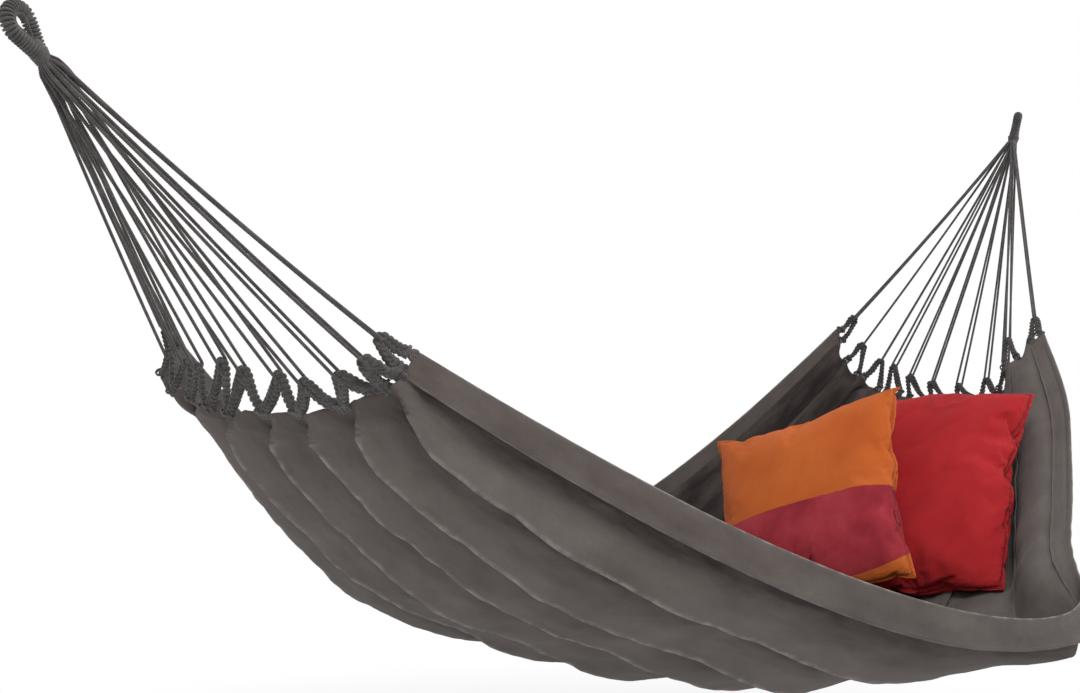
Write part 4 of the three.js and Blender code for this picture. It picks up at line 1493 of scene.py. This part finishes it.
def blown_up(points, faces):
    """The points of a closed bag after Blender's cloth has been blown up from them."""
    bag = make_object("bag", points, faces, FILLING_MATERIAL)
    puff = bag.modifiers.new("puff", "CLOTH")
    cloth = puff.settings
    cloth.quality = 7
    cloth.mass = 0.02
    cloth.tension_stiffness = 25
    cloth.compression_stiffness = 25
    cloth.shear_stiffness = 8
    cloth.bending_stiffness = 0.02
    cloth.air_damping = 3
    cloth.use_pressure = True
    cloth.uniform_pressure_force = BAG_PRESSURE
    cloth.effector_weights.gravity = 0
    puff.collision_settings.use_collision = False
    puff.point_cache.frame_start = 1
    puff.point_cache.frame_end = BAG_FRAMES
    scene = bpy.context.scene
    for moment in range(1, BAG_FRAMES + 1):
        scene.frame_set(moment)
    shaped = bag.evaluated_get(bpy.context.evaluated_depsgraph_get()).data
    found = np.empty(len(shaped.vertices) * 3, np.float32)
    shaped.vertices.foreach_get("co", found)
    found = found.reshape(-1, 3).astype(float)
    bpy.data.objects.remove(bag)
    scene.frame_set(1)
    return found


def puffed_bag(size, seed):
    """A square bag after it was blown up: its flat places, its round points, its faces and its rim."""
    ticks = np.linspace(-0.5, 0.5, BAG_CELLS + 1) * size
    x, y = np.meshgrid(ticks, ticks, indexing="ij")
    faces, used, rim = bag_faces(BAG_CELLS)
    swell = np.cos(math.pi * x / size) * np.cos(math.pi * y / size)
    flat = np.stack([x, y, swell * BAG_START], axis=-1).reshape(-1, 3)
    flat = np.concatenate([flat, flat * [1, 1, -1]])[used]
    start = flat.copy()
    start[:, 2] += perlin(flat, 0.05, seed, 2) * 1.5 * MM
    return flat, blown_up(start, faces), faces, np.searchsorted(used, rim)


def cushion_frame(pose, centre):
    """A cushion's own frame: right, up its slope, and out of its upper face."""
    lean, turn, roll = (math.radians(pose[k]) for k in ("lean", "turn", "roll"))
    aside = Vector((0, -1, 0))
    slope = Vector((math.cos(lean), 0, math.sin(lean)))
    right = aside * math.cos(roll) + slope * math.sin(roll)
    above = slope * math.cos(roll) - aside * math.sin(roll)
    basis = Matrix((right, above, right.cross(above))).transposed().to_4x4()
    return np.array(Matrix.Translation(centre) @ Matrix.Rotation(turn, 4, "Z") @ basis)


def filled_out(points, places, bowed):
    """Sides bowed back out, as a full filling does; the places run from -1 to 1 across the sheet."""
    full = points.copy()
    for axis, other in ((0, 1), (1, 0)):
        side_middle = (np.abs(places[:, axis]) > 0.999) & (np.abs(places[:, other]) < 0.1)
        drawn = 1 - np.abs(points[side_middle, axis]).mean() / np.abs(points[:, axis]).max()
        full[:, axis] = points[:, axis] / (1 - bowed * drawn * (1 - places[:, other] ** 2))
    return full


def cushion_shape(pose, seed):
    """A filled cushion in its own frame: flat places, points, faces and the points of its seam."""
    flat, points, faces, rim = puffed_bag(COVER_SIZE, seed)
    points = points - (points.max(axis=0) + points.min(axis=0)) / 2
    places = flat[:, :2] * 2 / COVER_SIZE
    points[:, :2] = filled_out(points[:, :2], places, pose["bowed"])
    # Soft creases run slantwise over the faces and die out at the seams
    slant = np.stack([places @ [1, 1] * 0.35, places @ [1, -1], np.sign(points[:, 2])], axis=-1)
    within = np.prod(1 - places**4, axis=1)
    rumple = perlin(slant, 0.5, seed)
    creased = rumple - 0.5 * hump(rumple, 0, 0.06)
    points[:, 2] += creased * CREASE_DEPTH * within * np.sign(points[:, 2])
    reach = points.max(axis=0) - points.min(axis=0)
    size = [pose["size"] / reach[0], pose["size"] / reach[1], 2 * CUSHION_CROWN / reach[2]]
    return flat, points * size, faces, rim


def make_cushion(label, pose, material, seed):
    low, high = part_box(label + "_cushion_cover")
    place = cushion_frame(pose, (low + high) / 2)
    place[:3, 3] += PHOTO_RIGHT * pose["aside"] + UP * pose["raised"]
    flat, points, faces, rim = cushion_shape(pose, seed)
    world = points @ place[:3, :3].T + place[:3, 3]
    heap = Heap()
    heap.points.append(world)
    heap.faces.extend(faces)
    heap.uv.append(flat[:, :2] / COVER_SIZE + 0.5)
    heap.count = len(world)
    add_cord(heap, world[rim], WELT_RADIUS, 6, closed=True)
    heap.uv[-1] = np.repeat(heap.uv[0][rim], 6, axis=0)
    inner = points * INSERT_SCALE @ place[:3, :3].T + place[:3, 3]
    cover = heap.build(label + "_cover", material)
    insert = make_object(label + "_insert", inner, faces, FILLING_MATERIAL, flat[:, :2])
    dress(cover, label + "_cushion", label + "_cushion_cover")
    dress(insert, label + "_cushion", label + "_cushion_filling")


def add_seams(material, tree, shader, colour):
    """A stitched seam inside each edge of a cushion: a dark line, and puckers that run in from it."""
    uv = cut_uv(tree)
    centred = [math_node(tree, "SUBTRACT", axis, 0.5) for axis in axis_sockets(tree, uv)]
    from_middle = [math_node(tree, "ABSOLUTE", value) for value in centred]
    inset = math_node(tree, "SUBTRACT", 0.5, math_node(tree, "MAXIMUM", *from_middle))
    line = ramp_node(tree, inset, SEAM_SHADE)
    tree.links.new(colour_socket(tree, 1.0, colour, line, "MULTIPLY"), shader.inputs["Base Color"])
    pucker = noise_node(tree, stretched(tree, uv, (34, 34, 1)), 1.0, 2.0)
    pucker = math_node(tree, "MULTIPLY", pucker, ramp_node(tree, inset, SEAM_REACH))
    ditch = math_node(tree, "MULTIPLY", ramp_node(tree, inset, SEAM_DITCH), 0.5)
    height = math_node(tree, "ADD", pucker, ditch)
    under = shader.inputs["Normal"].links[0].from_socket
    tree.links.new(bump_node(tree, height, 9 * MM, 0.8, under), shader.inputs["Normal"])
    return material


def red_material():
    return add_seams(*woven_material("red_cotton", RED_TONES, CANVAS_PITCH, 0.85, 0.05))


def patched_material():
    """Orange cotton with a crimson panel across its lower half and an orange wedge below it."""
    material, tree, shader, base = woven_material("orange_cotton", ORANGE_TONES, CANVAS_PITCH, 0.85, 0.05)
    across, along = axis_sockets(tree, cut_uv(tree))
    below = math_node(tree, "LESS_THAN", along, PANEL_TOP)
    wedge = math_node(tree, "MULTIPLY", across, WEDGE_SLOPE)
    share = math_node(tree, "MULTIPLY", below, math_node(tree, "GREATER_THAN", along, wedge))
    stops = list(zip((0.36, 0.5, 0.64), CRIMSON_TONES))
    panel = ramp_node(tree, noise_node(tree, place_socket(tree), 11.0, 4.0), stops)
    return add_seams(material, tree, shader, colour_socket(tree, share, base, panel))


# The stage: a pale floor that keeps the shadow and fades into white, and soft light

FLOOR_DROP = 0.50
FLOOR_RADIUS = 2.6
FLOOR_RINGS = 24
FLOOR_SIDES = 96
FLOOR_LIT = 0.65
FLOOR_SEEN = 0.97
FADE_FROM = 0.45
FADE_TO = 0.97
WORLD_LIGHT = 0.57


def floor_material(centre):
    """Pale where the shadow falls, and clear white towards its edge."""
    material = bpy.data.materials.new("pale_floor")
    material.use_nodes = True
    tree = material.node_tree
    shader = tree.nodes["Principled BSDF"]
    shader.inputs["Roughness"].default_value = 0.9
    # The camera sees it paler than it lights the bed's underside
    seen = new_node(tree, "LightPath").outputs["Is Camera Ray"]
    pale = colour_socket(tree, seen, grey(FLOOR_LIT), grey(FLOOR_SEEN))
    tree.links.new(pale, shader.inputs["Base Color"])
    clear = new_node(tree, "Emission", {"Color": (1, 1, 1, 1)}).outputs["Emission"]
    away = new_node(tree, "VectorMath", {0: place_socket(tree), 1: centre})
    away.operation = "DISTANCE"
    reach = {"From Min": FLOOR_RADIUS * FADE_FROM, "From Max": FLOOR_RADIUS * FADE_TO}
    fade = new_node(tree, "MapRange", {"Value": away.outputs["Value"], **reach})
    fade.interpolation_type = "SMOOTHSTEP"
    mix_shaders(tree, "Material", fade.outputs["Result"], shader.outputs["BSDF"], clear)
    return material


def mix_shaders(tree, kind, *sources):
    """Links a mix of two shaders, given after their share, to the tree's surface."""
    mix = new_node(tree, "MixShader", dict(enumerate(sources)))
    tree.links.new(mix.outputs["Shader"], tree.nodes[kind + " Output"].inputs["Surface"])


def make_floor():
    centre = ((cad_low.x + cad_high.x) / 2, 0, cad_low.z - FLOOR_DROP)
    around = np.linspace(0, 2 * math.pi, FLOOR_SIDES, endpoint=False)
    rim = np.stack([np.cos(around), np.sin(around), around * 0], axis=-1)
    radii = np.linspace(0.02, 1, FLOOR_RINGS) * FLOOR_RADIUS
    points = centre + radii[:, None, None] * rim[None, :, :]
    index = np.arange(FLOOR_RINGS * FLOOR_SIDES).reshape(FLOOR_RINGS, FLOOR_SIDES)
    beside = np.roll(index, -1, axis=1)
    quads = np.stack([index[:-1], index[1:], beside[1:], beside[:-1]], axis=-1).reshape(-1, 4)
    faces = [*quads.tolist(), index[0].tolist()]
    make_object("floor", points.reshape(-1, 3), faces, floor_material(centre))


def make_world():
    world = bpy.data.worlds.new("soft_daylight")
    bpy.context.scene.world = world
    world.use_nodes = True
    tree = world.node_tree
    light = tree.nodes["Background"]
    white = new_node(tree, "Background")
    for background, strength in ((light, WORLD_LIGHT), (white, 1.0)):
        background.inputs["Color"].default_value = (1, 1, 1, 1)
        background.inputs["Strength"].default_value = strength
    path = new_node(tree, "LightPath")
    seen = math_node(tree, "MAXIMUM", path.outputs["Is Camera Ray"], path.outputs["Is Glossy Ray"])
    seen = math_node(tree, "MAXIMUM", seen, path.outputs["Is Transmission Ray"])
    mix_shaders(tree, "World", seen, light.outputs["Background"], white.outputs["Background"])


def make_lamp(name, place, aim, size, power):
    data = bpy.data.lights.new(name, "AREA")
    data.shape = "DISK"
    data.size = size
    data.energy = power
    lamp = bpy.data.objects.new(name, data)
    bpy.context.scene.collection.objects.link(lamp)
    lamp.location = place
    lamp.rotation_euler = (Vector(aim) - Vector(place)).to_track_quat("-Z", "Y").to_euler()


def make_light():
    middle = (cad_low + cad_high) / 2
    aim = (middle.x, 0, middle.z)
    low_place = (cad_low.x - 1.0, -1.4, cad_low.z - 0.2)
    make_lamp("key_light", (middle.x - 1.4, -2.1, 2.6), aim, 1.6, 80)
    make_lamp("fill_light", (middle.x + 2.4, -2.2, 0.6), aim, 2.6, 38)
    make_lamp("low_light", low_place, (cad_low.x + 0.6, 0.1, middle.z), 1.8, 16)


make_camera()
bed, bed_cut = make_bed()
for side in (False, True):
    make_hem(side)
for end_sign in (-1, 1):
    make_fan(end_sign)
    make_end_loop(end_sign)
make_spare_bight()
make_cushion("red", RED_POSE, red_material(), 31)
make_cushion("orange", ORANGE_POSE, patched_material(), 37)
make_floor()
make_world()
make_light()
bpy.context.scene.view_settings.view_transform = "Standard"
